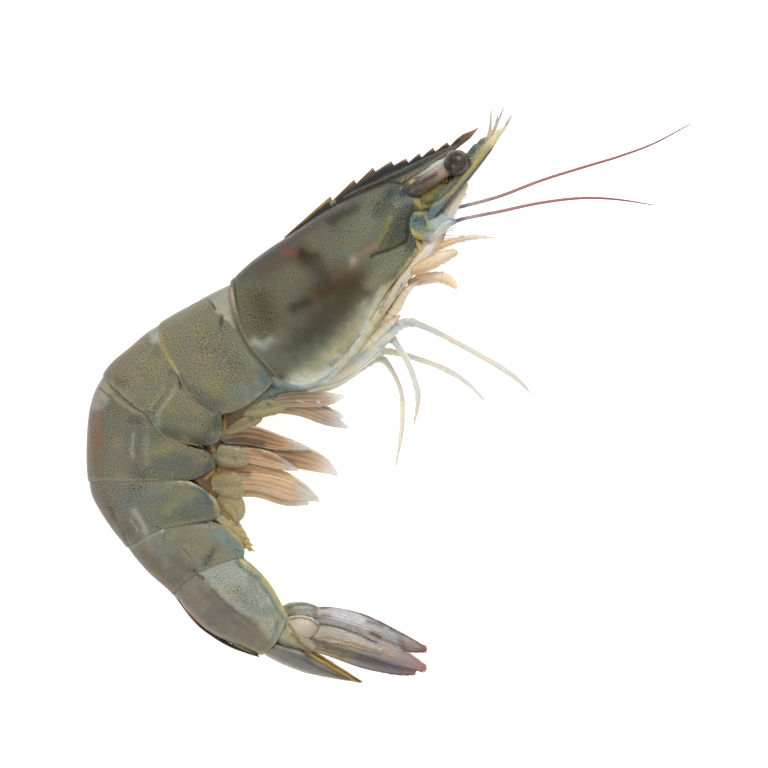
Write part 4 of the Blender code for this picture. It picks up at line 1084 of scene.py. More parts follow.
# each tooth rises straight to its tip and drops steeply to the notch behind the next one
def addCrest():
    corners, steps, tips, notches = [crest["start"]], [], [], [crest["start"]]
    for x, y in crest["toothTips"]:
        tips.append(len(corners))
        notches.append((x + crest["notchStep"], y - crest["toothHeight"]))
        corners += [(x, y), notches[-1]]
        steps += [14, 5]
    upper, places = straightLine(corners + crest["tip"], steps + [6, 4, 4, 6])
    notches = np.array(notches + crest["tip"])
    under = np.array(crest["underside"])
    way = np.array(crest["way"])
    reach = np.maximum.accumulate(upper @ way) + np.arange(len(upper)) * 0.001
    lower = atPlaces(reach, under @ way, under)
    # columns go down one side and up the other; h is the share of the depth
    columns = np.arange(crest["columns"])
    h = 1 - np.abs(1 - 2 * columns / crest["columns"])
    side = np.where(columns < crest["columns"] / 2, 1, -1)
    tall = np.linalg.norm(upper - lower, axis=1)[:, None]
    plan = upper[:, None] + (lower - upper)[:, None] * h[None, :, None]
    # the teeth are thin, and below their notches the blade swells to a rib at two thirds of its depth
    notchLine = np.interp(plan[..., 0], notches[:, 0], notches[:, 1])
    base = notchLine - plan[..., 1]
    whole = np.maximum(notchLine - np.interp(plan[..., 0], under[:, 0], under[:, 1]), 0.2)
    thick = 0.18 + 0.6 * ease(base, -1.0, 1.6) + 0.22 * hump(base / whole, 0.66, 0.1)
    thick *= np.clip(whole / 1.6, 0.25, 1)
    thick *= np.sqrt(np.clip(tall * h / 0.14, 0, 1)) * np.sqrt(np.clip(tall * (1 - h) / 0.3, 0, 1))
    height = headMiddle + crest["halfThickness"] * thick * side
    part = newPart(np.concatenate([plan, height[..., None]], -1), crest["colour"], 0.15)
    rise = paint(part, crest["marks"], ragged=0.12)
    down = tall * h
    tone(part, 0.8 * (1 - ease(down, 0.1, 0.34)), crest["edgeColour"], -1)
    for tip in tips:
        sharp = np.clip(1 - np.abs(places - tip) / 0.3, 0, 1)[:, None]
        tone(part, 0.9 * sharp * (1 - ease(down, 0.1, 0.7)), crest["tipColour"], -1)
    rise = rise * 0.5 + 0.01 * cloud(part["points"], 0.5, 3)
    part["points"] = part["points"] + outward(part["points"]) * rise[..., None]
    # short bristles stand in each notch and lean on the next tooth
    roots, ways = [], []
    k = np.arange(crest["bristles"]["count"])
    for x, y in crest["toothTips"]:
        sway = np.cos(k * 2.4)
        spot = (x + 0.3 + 0.12 * k, y - crest["toothHeight"] + 0.05 * k, headMiddle + 0.12 * sway)
        roots.append(np.column_stack(spot))
        ways.append(np.column_stack([0.75 + 0.05 * k, 0.62 - 0.03 * k, 0.25 * sway]))
    bristles = bristlePart(np.concatenate(roots), np.concatenate(ways), crest["bristles"]["length"],
                           crest["bristles"]["radius"], crest["bristles"]["colour"], droop=0.35)
    addPiece("rostrumCrest", [part, bristles], "shell", ["carapace"])


thinnest = 0.04  # half the width of the thinnest limb


# Each point of the line is (x, y, height, half width in the plan, half width across it), in millimetres.
# The ellipses stand square to the line, turned by twist, and both ends are rounded:
# the size falls as sqrt(1 - (1 - d / r)^2) within r of an end. Knees swell by a bulge on both sides.
def limbPart(line, rows, columns, colours, specks=0.0, twist=0.0, knees=(), bulge=0.14, ends=(1.0, 1.0),
             box=1.0):
    line = np.array([(*spot, spot[3])[:5] for spot in line], float)
    even = np.linspace(0, 1, rows)
    share = 0.8 * even + 0.2 * (1 - np.cos(np.pi * even)) / 2
    along = alongCurve(line, share * (len(line) - 1))
    centre, (wide, thick) = along[:, :3], np.maximum(along[:, 3:], thinnest).T
    ahead = np.gradient(centre, axis=0)
    length = np.append(0, np.cumsum(np.linalg.norm(np.diff(centre, axis=0), axis=1)))
    for distance, size, end in ((length, wide[0], ends[0]), (length[-1] - length, wide[-1], ends[1])):
        cap = np.sqrt(np.clip(1 - (1 - np.clip(distance / max(size * end, 0.05), 0, 1)) ** 2, 0.02, 1))
        wide, thick = wide * cap, thick * cap
    for knee in knees:
        at = np.interp(knee / (len(line) - 1), share, length)
        size = np.interp(at, length, wide)
        swell = hump(length, at - size * 0.75, size * 0.7) + hump(length, at + size * 0.75, size * 0.6)
        swell = 1 + bulge * (swell - 0.9 * hump(length, at, size * 0.22))
        wide, thick = wide * swell, thick * swell
    aside = unit(np.cross(ahead, (0, 0, 1)))
    top = unit(np.cross(aside, ahead))
    across = aside * np.cos(twist) + top * np.sin(twist)
    normal = top * np.cos(twist) - aside * np.sin(twist)
    angle = 2 * np.pi * np.arange(columns) / columns
    # with box below 1 the ellipse swells towards a rectangle
    wideShare, thickShare = (np.sign(turn) * np.abs(turn) ** box for turn in (np.cos(angle), np.sin(angle)))
    points = (
        centre[:, None] + across[:, None] * (wide[:, None] * wideShare)[..., None]
        + normal[:, None] * (thick[:, None] * thickShare)[..., None]
    )
    part = newPart(points, 0, specks)
    share = length / length[-1]
    tint = atPlaces(share, [stop for stop, _ in colours], np.array([seen(colour) for _, colour in colours]))
    part["tint"] += tint[None, :, None]
    part.update(share=share[:, None], fromStart=length[:, None], fromEnd=length[-1] - length[:, None],
                across=np.cos(angle)[None], up=np.sin(angle)[None], centre=centre, aside=across,
                normal=normal, ahead=unit(ahead), wide=wide, thick=thick)
    return part


# colour bands and ridges that run lengthwise:
# each band is (place across from -1 to 1, its reach, colour, how much, rise)
def addBands(part, bands):
    total = np.zeros(part["points"].shape[:-1])
    for place, reach, colour, much, rise in bands:
        near = hump(part["across"], place, reach)
        if colour:
            tone(part, near * much, colour)
        total += near * rise
    return total


def finishLimb(part, rise=0.0, grain=0.02):
    part["points"] = raised(part["points"], rise + grain * clouds(part["points"], 0.9, 12))
    return part


# thin tapering bristles: each is a three-sided spike from its root along its way, sagging a little
def bristlePart(roots, ways, lengths, radius, colour, droop=0.1, clear=1.0, seed=1):
    rng = np.random.default_rng(seed)
    count = len(roots)
    ways = unit(ways)
    lengths = np.broadcast_to(lengths, count) * rng.uniform(0.75, 1.1, count)
    s = np.linspace(0, 1, 5)
    line = roots[:, None] + ways[:, None] * (lengths[:, None] * s)[..., None]
    line[..., 2] -= droop * lengths[:, None] * s**2
    across = unit(np.cross(ways, rng.normal(size=(count, 3))))
    other = np.cross(ways, across)
    angle = 2 * np.pi * np.arange(3) / 3
    thick = radius * np.maximum(1 - s, 0.08) ** 0.7
    ring = across[:, None] * np.cos(angle)[None, :, None] + other[:, None] * np.sin(angle)[None, :, None]
    points = line[:, :, None] + ring[:, None] * thick[:, None, None]
    points[..., 2] = np.maximum(points[..., 2], 0.02)
    part = newPart(points, colour)
    part["tint"] *= rng.uniform(0.8, 1.15, count)[:, None, None, None]
    part["clear"] *= clear
    return part


# bristles along one edge of a limb, from share low to high; side is 1 or -1, lean turns them to the tip
def fringe(limb, low, high, count, side, lean, length, radius, colour, clear=1.0, seed=2):
    rng = np.random.default_rng(seed)
    share = np.sort(rng.uniform(low, high, count))
    known = limb["share"][:, 0]
    centre, aside, ahead, normal = (
        atPlaces(share, known, limb[key]) for key in ("centre", "aside", "ahead", "normal"))
    wide, thick = (np.interp(share, known, limb[key]) for key in ("wide", "thick"))
    jitter = rng.uniform(-1, 1, (count, 3)) * 0.12
    outwards, upwards = side * wide * 0.93, thick * rng.uniform(-0.5, 0.5, count)
    roots = centre + aside * outwards[:, None] + normal * upwards[:, None]
    ways = aside * side * np.cos(lean) + ahead * np.sin(lean) + jitter
    return bristlePart(roots, ways, length, radius, colour, 0.05, clear, seed)


# a ball of rings round a leaning pole, with the way outwards at each of its points
def ballPart(centre, radius, rows, columns, pole, colour):
    angle = np.pi * (np.arange(rows) + 0.5) / rows
    turn = 2 * np.pi * np.arange(columns) / columns
    pole = unit(np.array(pole))
    aside = unit(np.cross(pole, (0, 0, 1)))
    other = np.cross(pole, aside)
    ring = aside * np.cos(turn)[None, :, None] + other * np.sin(turn)[None, :, None]
    ways = pole * np.cos(angle)[:, None, None] + ring * np.sin(angle)[:, None, None]
    part = newPart(np.array(centre) + radius * ways, colour)
    part["ways"] = ways[None]
    return part


# the same limb on the animal's other side, kept above the table
def mirrored(line, side):
    if side > 0:
        return line
    return [(x, y, max(2 * headMiddle - z, sizes[-1] + 0.15), *sizes) for x, y, z, *sizes in line]


sides = {"right": 1, "left": -1}


def addHeadCore():
    core = limbPart(headCore["line"], 60, 64, headCore["colours"], 0.5)
    rise = paint(core, headCore["marks"], ragged=0.2)
    skin = limbPart(headCore["orbitSkin"], 90, 40, headCore["skinColours"], 0.2)
    corner = limbPart(headCore["cornerSkin"], 50, 32, headCore["cornerColours"], 0.3)
    parts = [finishLimb(core, rise, 0.06), finishLimb(skin, addBands(skin, headCore["skinBands"]), 0.06),
             finishLimb(corner, grain=0.08)]
    addPiece("headCore", parts, "shell", ["carapace"])


for ring in range(6):
    addRing(ring)
print("abdomen ready")
addCrest()
addHeadCore()
print("crest and head core ready")


eyes = {
    "radius": 2.52,
    "centreUp": 5.3,  # above the plane of symmetry
    "pole": (0.42, 0.33, 0.85),
    "colour": 0x322924,
    "mottleColour": 0x686054,
    "marks": {
        "darkSide": stroke([447, 160, 449, 168], 1, 0x342622, 0.8),
        "brownHaze": stroke([462, 166], 1.3, 0x5c524a, 0.6),
        "darkFlecks": stroke([452, 157, 456, 154], 0.5, 0x302620, 0.6),
        "lowRim": stroke([449, 172, 458, 174, 467, 168], 0.4, 0x685c50, 0.5),
    },
}

eyeStalks = {
    "line": [
        (3.1, 37.5, 8.9, 1.4), (5.2, 39, 10.2, 1.75, 1.9), (7.3, 40.2, 10.9, 1.65, 2),
        (9.9, 41.85, 11.8, 1.42, 1.8), (12.4, 43.6, 12.6, 1.3, 1.5),
    ],
    "colours": [
        (0, 0x3c3a38), (0.2, 0x4e463c), (0.42, 0x665848), (0.62, 0x887666), (0.85, 0x9c8c7c),
        (1, 0x6e6054),
    ],
    "marks": {
        # the stalk's pale upper rim, with a painted highlight along it
        "paleRimAndHighlight": stroke([424, 174, 433, 168, 441, 163], 0.3, 0xaaa6a0, 0.6),
        "paleLine": stroke([450, 190, 462, 176, 476, 158, 488, 144], 0.24, 0xb2aa92, 0.7, rise=0.05),
        "blueStrokeA": stroke([436, 174, 426, 181, 416, 189], 0.42, 0x242a32, 0.85),
        "blueStrokeB": stroke([430, 169, 421, 176, 414, 184], 0.36, 0x2e343c, 0.8),
        "blueBase": stroke([407, 189, 412, 195, 420, 197], 0.8, 0x3a3e42, 0.8, 0.4),
        "yellowSpot": stroke([410, 182, 413, 179.5], 0.3, 0xc4a03c, 0.95),
        "oliveGlow": stroke([422, 194, 434, 189, 444, 183], 0.7, 0x806c34, 0.8),
        "redBrown": stroke([421, 186, 432, 182], 0.5, 0x705240, 0.6),
        "pinkNeck": stroke([437, 168, 443, 174], 0.8, 0xa28e82, 0.7),
        "dotRow": stroke([433, 167, 425, 172], 0.3, 0x5c5854, 0.5, 0.8),
    },
}


def addEyes():
    for name, side in sides.items():
        centre = (*eyePlan, headMiddle + side * eyes["centreUp"])
        ball = ballPart(centre, eyes["radius"], 64, 96, eyes["pole"], eyes["colour"])
        rise = paint(ball, eyes["marks"], ragged=0.4)
        tone(ball, 0.5 * ease(clouds(ball["points"], 0.9, 3), 0.05, 0.6), eyes["mottleColour"])
        rise = rise + 0.02 * clouds(ball["points"], 1.3, 8)
        ball["points"] = ball["points"] + ball["ways"] * rise[..., None]
        addPiece(f"eyeBall{name.title()}", [ball], "eye", [f"eye_{name}"])
        stalk = limbPart(mirrored(eyeStalks["line"], side), 90, 64, eyeStalks["colours"], 0.25)
        rise = paint(stalk, eyeStalks["marks"], ragged=0.15)
        addPiece(f"eyeStem{name.title()}", [finishLimb(stalk, rise, 0.08)], "flesh", [f"eye_stalk_{name}"])


antennules = {
    "stalk": [
        (6.2, 35.4, 9.75, 1.9), (10.9, 39, 9.75, 1.95), (14.5, 42.8, 9.55, 1.6), (17.2, 46.1, 9.35, 1.3),
        (19.6, 48.8, 9.15, 0.8),
    ],
    "colours": [
        (0, 0x68623e), (0.3, 0x888254), (0.55, 0x70745c), (0.75, 0x687468), (0.9, 0x968874),
        (1, 0xa8988a),
    ],
    "innerColour": 0xbeb296,
    "bristleColour": 0xbea442,
    "knees": (2.05, 3.35),
    "whipColours": [(0, 0xc4b2a0), (0.5, 0xcebeac), (1, 0x968c8c)],
    "whips": {
        "right": [
            [(19.3, 48.4, 9.35, 0.5), (19.7, 50.6, 9.35, 0.3), (19.9, 54.2, 9.65, 0.08)],
            [(19.5, 48.4, 9.15, 0.5), (20.8, 51, 9.05, 0.3), (22.3, 54.6, 9.15, 0.08)],
        ],
        "left": [
            [
                (19.5, 48.4, 6.55, 0.5), (21.6, 49.7, 6.25, 0.4), (22.7, 51.2, 5.85, 0.3),
                (23.8, 53.1, 5.45, 0.08),
            ],
            [(19.5, 48.5, 6.55, 0.5), (20.6, 50.8, 6.65, 0.3), (21.2, 53.3, 6.85, 0.08)],
        ],
    },
    "marks": {
        "yellowNear": stroke([424, 192, 436, 188, 448, 186, 458, 182], 0.5, 0x88783e, 0.7),
        "blueTop": stroke([470, 152, 475, 146, 482, 142], 0.7, 0x485c60, 0.8, 0.6),
        "blueLow": stroke([466, 162, 473, 154], 0.5, 0x526264, 0.7, 0.5),
        "yellowMiddle": stroke([464, 176, 471, 167, 476, 160], 0.5, 0xbeac50, 0.8),
        "blueArc": stroke([426, 203, 438, 200, 449, 191, 458, 181, 468, 170], 0.3, 0x384248, 0.85, 0.3),
        "yellowArc": stroke(
            [418, 207, 430, 206, 441, 201, 452, 191, 461, 179],
            0.24, 0xa09652, 0.8, rise=0.06),
        "yellowArcUp": stroke([428, 197, 438, 194, 448, 187, 458, 181], 0.2, 0x968c4c, 0.75, rise=0.05),
        "greenFleck": stroke([434, 195, 442, 190], 0.75, 0x646a54, 0.8, 0.8),
        # painted shade: near-black shade in the hollow beside the eye, sunk a little
        "hollowShadow": stroke([444, 179.5, 450, 178, 455, 177], 0.72, 0x120e0c, 0.98, edge=4, rise=-0.3),
    },
}

scales = {
    "line": [
        (7.9, 33, 11.6, 0.3, 0.9), (9, 34.7, 11.8, 1.05, 1.5), (11.1, 37.5, 11.95, 1.3, 1.9),
        (14.7, 41.5, 12, 1.25, 2), (18.6, 46.1, 11.75, 1, 1.6), (20.9, 49, 11.45, 0.65, 1.1),
        (22.7, 51.2, 11.15, 0.12, 0.2),
    ],
    "innerColour": 0xd0c6b4,
    "flankColour": 0x32221a,
    "bands": [(0, 0.25, None, 0, 0.06), (0.6, 0.12, 0xb0a67c, 0.45, 0.03)],
    "hairs": {
        "low": 0.5,
        "high": 0.93,
        "count": 110,
        "side": -1,
        "lean": 1,
        "length": 0.8,
        "radius": 0.035,
        "colour": 0xcec4a0,
        "seed": 5,
    },
    "colours": [
        (0, 0x708086), (0.2, 0x768486), (0.4, 0x807e68), (0.7, 0x969070), (0.86, 0xc8ba8e), (1, 0xe6dabe),
    ],
    "marks": {
        "paleLine": stroke([452, 193, 464, 178, 478, 160, 490, 145], 0.3, 0xbab29e, 0.35, rise=0.05),
        "yellowLine": stroke(
            [425, 207, 435, 204, 447, 195, 460, 180, 474, 164, 486, 150],
            0.36, 0xbaaa54, 0.8),
        "blueStripe": stroke(
            [430, 204, 442, 197, 452, 187, 462, 175, 470, 165],
            0.34, 0x3c464e, 0.8, 0.3),
        "bluePatch": stroke([424, 211, 434, 211, 443, 205], 0.9, 0x5c7a8a, 0.8, 0.25),
        "oliveLight": stroke([434, 197, 444, 190], 0.6, 0x868a68, 0.6, 0.5),
        "tip": stroke([493, 143, 500, 133, 506, 123], 0.8, 0xe2d0a2, 0.85),
    },
}

roots = {
    "line": [
        (3.6, 32.4, 10.4, 2, 1.7), (6.1, 32.1, 10.8, 2.75, 1.9), (8.8, 32.2, 10.8, 2.6, 1.7),
        (11.6, 33.4, 10.6, 1.5, 1.2),
    ],
    "colours": [(0, 0x787a64), (0.5, 0x848e84), (1, 0xa8b6b6)],
    "marks": {
        "yellowRing": stroke([414, 212, 420, 214, 427, 220, 429, 228], 0.45, 0xbcae76, 0.85, rise=0.14),
        "yellowBase": stroke([410, 231, 416, 233, 421, 238], 0.9, 0xc4b062, 0.9),
        "bluePatch": stroke([416, 220, 422, 219, 424, 224], 0.95, 0x425c68, 0.9, 1),
        "blueLow": stroke([411, 226, 418, 229], 0.6, 0x607478, 0.7, 0.6),
        "paleSide": stroke([436, 220, 437, 228, 431, 236], 1.1, 0xb0bcbc, 0.9, -0.3),
        "blueShade": stroke([426, 231, 432, 231], 0.4, 0x5c767e, 0.6, 0.4),
        "blueUpper": stroke([430, 214, 436, 216], 0.6, 0x547084, 0.8),
    },
}

feelerStalks = {
    "colours": [(0, 0xbab2a0), (0.35, 0xccccc6), (0.75, 0xbac0c2), (1, 0x707884)],
    "right": [
        (7.9, 29.3, 11.1, 0.8), (9.8, 31.2, 11.4, 1), (11.6, 32.5, 11.3, 0.9), (13.4, 33, 10.9, 0.42),
    ],
    "left": [(8.6, 31, 4.6, 1.4), (10.4, 33.2, 4.7, 1.3), (11.9, 35, 4.8, 1), (13.6, 35.6, 4.9, 0.42)],
}

antennae = {
    "ringLength": 0.42,
    "ringHeight": 0.022,
    "grooveColour": 0x603c3a,
    "colours": [
        (0, 0x545862), (0.03, 0x7c7a80), (0.07, 0xc4b4b2), (0.14, 0xb09490), (0.3, 0xba8a84),
        (0.6, 0xb27670), (1, 0x925856),
    ],
    "right": [
        (13, 32.9, 10.9, 0.42), (15.1, 33.5, 10.8, 0.36), (21.6, 34.8, 9.8, 0.34), (29.2, 36.4, 8, 0.31),
        (36.8, 37.3, 5.7, 0.27), (43.4, 37.1, 3.3, 0.21), (50.8, 36, 0.9, 0.09),
    ],
    "left": [
        (13, 35.5, 4.9, 0.42), (15.1, 35.9, 5, 0.36), (21.6, 37.7, 5, 0.34), (29.2, 40.6, 4.6, 0.32),
        (36.8, 43, 3.8, 0.29), (44.4, 45.3, 2.6, 0.25), (51, 47.8, 1.4, 0.18), (57.7, 51.4, 0.5, 0.09),
    ],
}


def addAntennule(name, side):
    stalk = limbPart(mirrored(antennules["stalk"], side), 160, 56, antennules["colours"], 0.35,
                     knees=antennules["knees"])
    outer = ease(side * stalk["up"], -0.6, 0.0)
    rise = paint(stalk, antennules["marks"], ragged=0.2, share=outer)
    tone(stalk, 0.7 * (1 - outer), antennules["innerColour"])
    parts = [finishLimb(stalk, rise, 0.06)]
    for whip in antennules["whips"][name]:
        parts.append(finishLimb(limbPart(whip, 60, 16, antennules["whipColours"]), grain=0.015))
    # bristles stand round the dark hollow beside the eye
    k = np.arange(16)
    height = np.full(len(k), headMiddle + side * 3.6)
    spots = np.column_stack([10.7 + 0.16 * k, 40.1 + 0.25 * np.sin(k * 0.4), height])
    lean = np.full(len(k), side * 0.3)
    ways = np.column_stack([0.25 * np.cos(k * 1.7), 1.0 + 0.2 * np.sin(k * 2.3), lean])
    parts.append(bristlePart(spots, ways, 1.4, 0.09, antennules["bristleColour"], droop=0.0, seed=4))
    addPiece(f"antennule{name.title()}", parts, "shell", [f"antennule_{name}"])


def addScale(name, side):
    scale = limbPart(mirrored(scales["line"], side), 150, 72, scales["colours"], 0.1)
    outer = ease(side * scale["up"], -0.5, 0.1)
    rise = paint(scale, scales["marks"], ragged=0.15, share=outer)
    tone(scale, 0.85 * (1 - outer), scales["innerColour"])
    rise = rise + addBands(scale, scales["bands"])
    brown = ease(scale["across"], 0.45, 0.7) * ease(side * scale["up"], -0.25, 0.15)
    brown = brown * ease(scale["share"], 0.03, 0.1) * (1 - ease(scale["share"], 0.74, 0.84))
    tone(scale, 0.95 * brown, scales["flankColour"], -1)
    hairs = fringe(scale, **scales["hairs"])
    addPiece(f"feelerScale{name.title()}", [finishLimb(scale, rise, 0.03), hairs], "shell",
             [f"antenna_scale_{name}"])


def addFeelers():
    for name, side in sides.items():
        addAntennule(name, side)
        addScale(name, side)
        root = limbPart(mirrored(roots["line"], side), 80, 72, roots["colours"], 0.3,
                        ends=(0.6, 0.6), box=0.8)
        rise = paint(root, roots["marks"], ragged=0.25)
        addPiece(f"feelerRoot{name.title()}", [finishLimb(root, rise, 0.12)], "shell",
                 [f"antenna_root_{name}"])
        stalk = limbPart(feelerStalks[name], 90, 48, feelerStalks["colours"], knees=(1.0, 2.1), bulge=0.05)
        addPiece(f"feelerStalk{name.title()}", [finishLimb(stalk, grain=0.05)], "leg",
                 [f"antenna_stalk_{name}"])
        feeler = limbPart(antennae[name], 1400, 14, antennae["colours"])
        wave = np.sin(feeler["fromStart"] * 2 * np.pi / antennae["ringLength"])
        tone(feeler, 0.35 * ease(wave, -0.2, -1), antennae["grooveColour"])
        addPiece(f"feeler{name.title()}", [finishLimb(feeler, antennae["ringHeight"] * wave, 0.0)], "whip",
                 [f"antenna_{name}"])


mouthLegs = {
    "line": [
        (-3.9, 11.5, 10.45, 1), (-1.2, 15.7, 11.05, 1.05), (2.9, 21.6, 10.85, 1),
        (7.1, 26.9, 10.25, 0.95), (10.5, 31.9, 9.55, 0.95), (13.1, 36.5, 9.35, 1),
        (15.4, 40.2, 9.25, 0.35),
    ],
    "knees": (1.6, 3, 4.2),
    "bands": [(0, 0.3, None, 0, 0.05)],
    "hairs": {
        "low": 0.7, "high": 0.97, "count": 60, "side": 1, "lean": 0.9, "length": 1, "radius": 0.03,
        "colour": 0xd6ac84, "seed": 6,
    },
    "strandRoots": [(10.6, 29.6, 9.6), (10.9, 30.2, 9.6), (11.6, 31, 9.6), (12, 31.4, 9.5)],
    "strandWays": [(1, 0.12, 0), (1, 0.02, 0), (1, 0.16, 0), (1, 0.3, 0)],
    "strandColour": 0xcca084,
    "colours": [(0, 0xc6b496), (0.35, 0xd6c8b2), (0.6, 0xe8ded0), (0.8, 0xe4d6c2), (1, 0xd4caba)],
    "marks": {
        "redLine": stroke([427, 241, 431, 236, 434, 231], 0.2, 0x8e543e, 0.8),
        "orangeEdge": stroke([418, 246, 424, 240, 436, 224, 444, 214], 0.3, 0xc89c70, 0.8),
        "bluePatch": stroke([403, 283, 399, 290, 395, 298], 0.22, 0x707670, 0.6, 1.3),
        "blueGrey": stroke([396, 281, 390, 291, 384, 302], 0.24, 0x6c7068, 0.65, 1.3),
    },
}

palps = {
    "Long": {
        "line": [
            (4.8, 24.4, 9.15, 0.7, 0.4), (9, 27.6, 8.85, 0.7, 0.4), (13, 29.2, 8.65, 0.5, 0.3),
            (16.8, 29.9, 8.45, 0.36, 0.24), (20.6, 29.8, 8.35, 0.14, 0.12),
        ],
        "colours": [(0, 0xc4a070), (0.3, 0xdabe94), (0.7, 0xead8bc), (1, 0xf2e6d4)],
        "knees": (),
    },
    "Broad": {
        "line": [
            (4.8, 23.2, 12.05, 0.9, 0.45), (7.9, 24.8, 12.05, 1.15, 0.45), (10.7, 26.1, 11.95, 1, 0.4),
            (13.6, 27.2, 11.75, 0.55, 0.3),
        ],
        "colours": [(0, 0xc8a472), (0.3, 0xdec49e), (0.7, 0xead8c4), (1, 0xe4cea6)],
        "knees": (),
    },
    "Hooked": {
        "line": [
            (4.1, 20.8, 9.25, 0.75, 0.5), (6.7, 21.9, 9.35, 0.95, 0.5), (10, 22.3, 9.45, 0.85, 0.45),
            (12.1, 21.5, 9.55, 0.75, 0.4), (13.4, 20.1, 9.55, 0.35, 0.25),
        ],
        "colours": [(0, 0xcca688), (0.3, 0xdec2a4), (0.6, 0xead8c6), (1, 0xf0dcc4)],
        "knees": (2.3,),
    },
}


palpLooks = {
    "bands": [(0.5, 0.18, 0xa8784e, 0.3, 0.03), (-0.5, 0.2, 0xf0dec8, 0.4, 0.03)],
    "hairs": {"count": 90, "lean": 1.0, "length": 0.7, "radius": 0.03, "colour": 0xe2c6a0},
}


def addMouth():
    for name, side in sides.items():
        leg = limbPart(mirrored(mouthLegs["line"], side), 260, 40, mouthLegs["colours"],
                       knees=mouthLegs["knees"], bulge=0.03)
        rise = paint(leg, mouthLegs["marks"], ragged=0.15) + addBands(leg, mouthLegs["bands"])
        hairs = fringe(leg, **mouthLegs["hairs"])
        # a few long hairs reach out over the feeler stalks
        spots = np.array(mouthLegs["strandRoots"])
        spots[:, 2] = headMiddle + side * (spots[:, 2] - headMiddle)
        strands = bristlePart(spots, np.array(mouthLegs["strandWays"]), 4.0, 0.1, mouthLegs["strandColour"],
                              seed=7)
        addPiece(f"mouthLeg{name.title()}", [finishLimb(leg, rise, 0.05), hairs, strands], "leg",
                 [f"mouth_leg_{name}"])
        for kind, palp in palps.items():
            part = limbPart(mirrored(palp["line"], side), 110, 40, palp["colours"], knees=palp["knees"])
            rise = addBands(part, palpLooks["bands"])
            inner = fringe(part, 0.15, 0.9, side=-side, seed=8, **palpLooks["hairs"])
            outer = fringe(part, 0.15, 0.95, side=side, seed=9, **palpLooks["hairs"])
            addPiece(f"palp{kind}{name.title()}", [finishLimb(part, rise, 0.04), inner, outer], "flesh",
                     [f"palp_{kind.lower()}_{name}"])


legs = {
    "leg_1_right": [
        (-2.4, 10.7, 10.4, 0.7), (0.7, 14.9, 10.4, 0.75), (3.3, 19.1, 10.1, 0.7), (6.2, 21.9, 9.7, 0.3),
    ],
    "leg_1_left": [
        (-2.4, 10.7, 5.2, 0.7), (0.7, 14.9, 5, 0.75), (3.3, 19.1, 4.6, 0.7), (6.4, 22.1, 4, 0.3),
    ],
    "leg_2_right": [
        (-4.3, 8.8, 9.8, 0.75), (-0.5, 13, 9.3, 0.8), (2.2, 16.8, 8.7, 0.75), (4.1, 19.7, 8, 0.3),
    ],
    "leg_2_left": [
        (-4.3, 8.8, 5.8, 0.75), (-0.5, 13, 6.2, 0.8), (2.2, 16.8, 6.6, 0.75), (4.3, 19.9, 6.4, 0.3),
    ],
    "leg_3_right": [
        (-6.6, 6.9, 10.6, 0.8), (-2.8, 10, 11.2, 0.85), (0.3, 13, 11.4, 0.75), (2.4, 14.9, 11.4, 0.3),
    ],
    "leg_3_left": [
        (-6.6, 6.9, 4.6, 0.8), (-2.8, 10, 3.4, 0.85), (0.3, 12.8, 2.8, 0.75), (2.6, 15.1, 2.4, 0.3),
    ],
    "leg_4_right": [
        (-12.3, 2.4, 10.4, 1.1), (-6.6, 5.4, 11.4, 1.1), (-0.5, 10.5, 11, 0.95), (3.5, 13.6, 10.4, 0.85),
        (7.9, 12.6, 9.2, 0.65), (14.9, 9, 7, 0.6), (21.6, 5.2, 4.6, 0.6), (25.2, 2.6, 3, 0.45),
        (27.5, 0.1, 1.6, 0.12),
    ],
    "leg_5_right": [
        (-15.3, 1, 9.6, 1.1), (-8.8, 3.1, 9.6, 1), (-2.8, 7.7, 9.2, 0.9), (0.5, 10.7, 9, 0.8),
        (2.9, 8.1, 7.6, 0.65), (4.8, 4.3, 6, 0.6), (6, -0.5, 3.8, 0.55), (5.2, -5.8, 1.6, 0.12),
    ],
    "leg_4_left": [
        (-12.3, 2.2, 5, 1), (-6.9, 4.5, 5, 0.95), (-2, 7.7, 4.8, 0.75), (1, 8.1, 4.6, 0.65),
        (6.4, 6.6, 4, 0.6), (11.1, 4.8, 3, 0.6), (15.3, 2.2, 1.8, 0.45), (18.9, -1.4, 0.6, 0.12),
    ],
    "leg_5_left": [
        (-15.3, 0.5, 3, 1), (-9.6, 2.2, 2.6, 0.95), (-3.9, 5.8, 2.2, 0.8), (-0.9, 6.7, 2, 0.7),
        (1.4, 3.9, 1.8, 0.5), (2.9, -0.3, 1.5, 0.5), (2.9, -6.4, 1.1, 0.5), (1.8, -13.6, 0.5, 0.12),
    ],
}

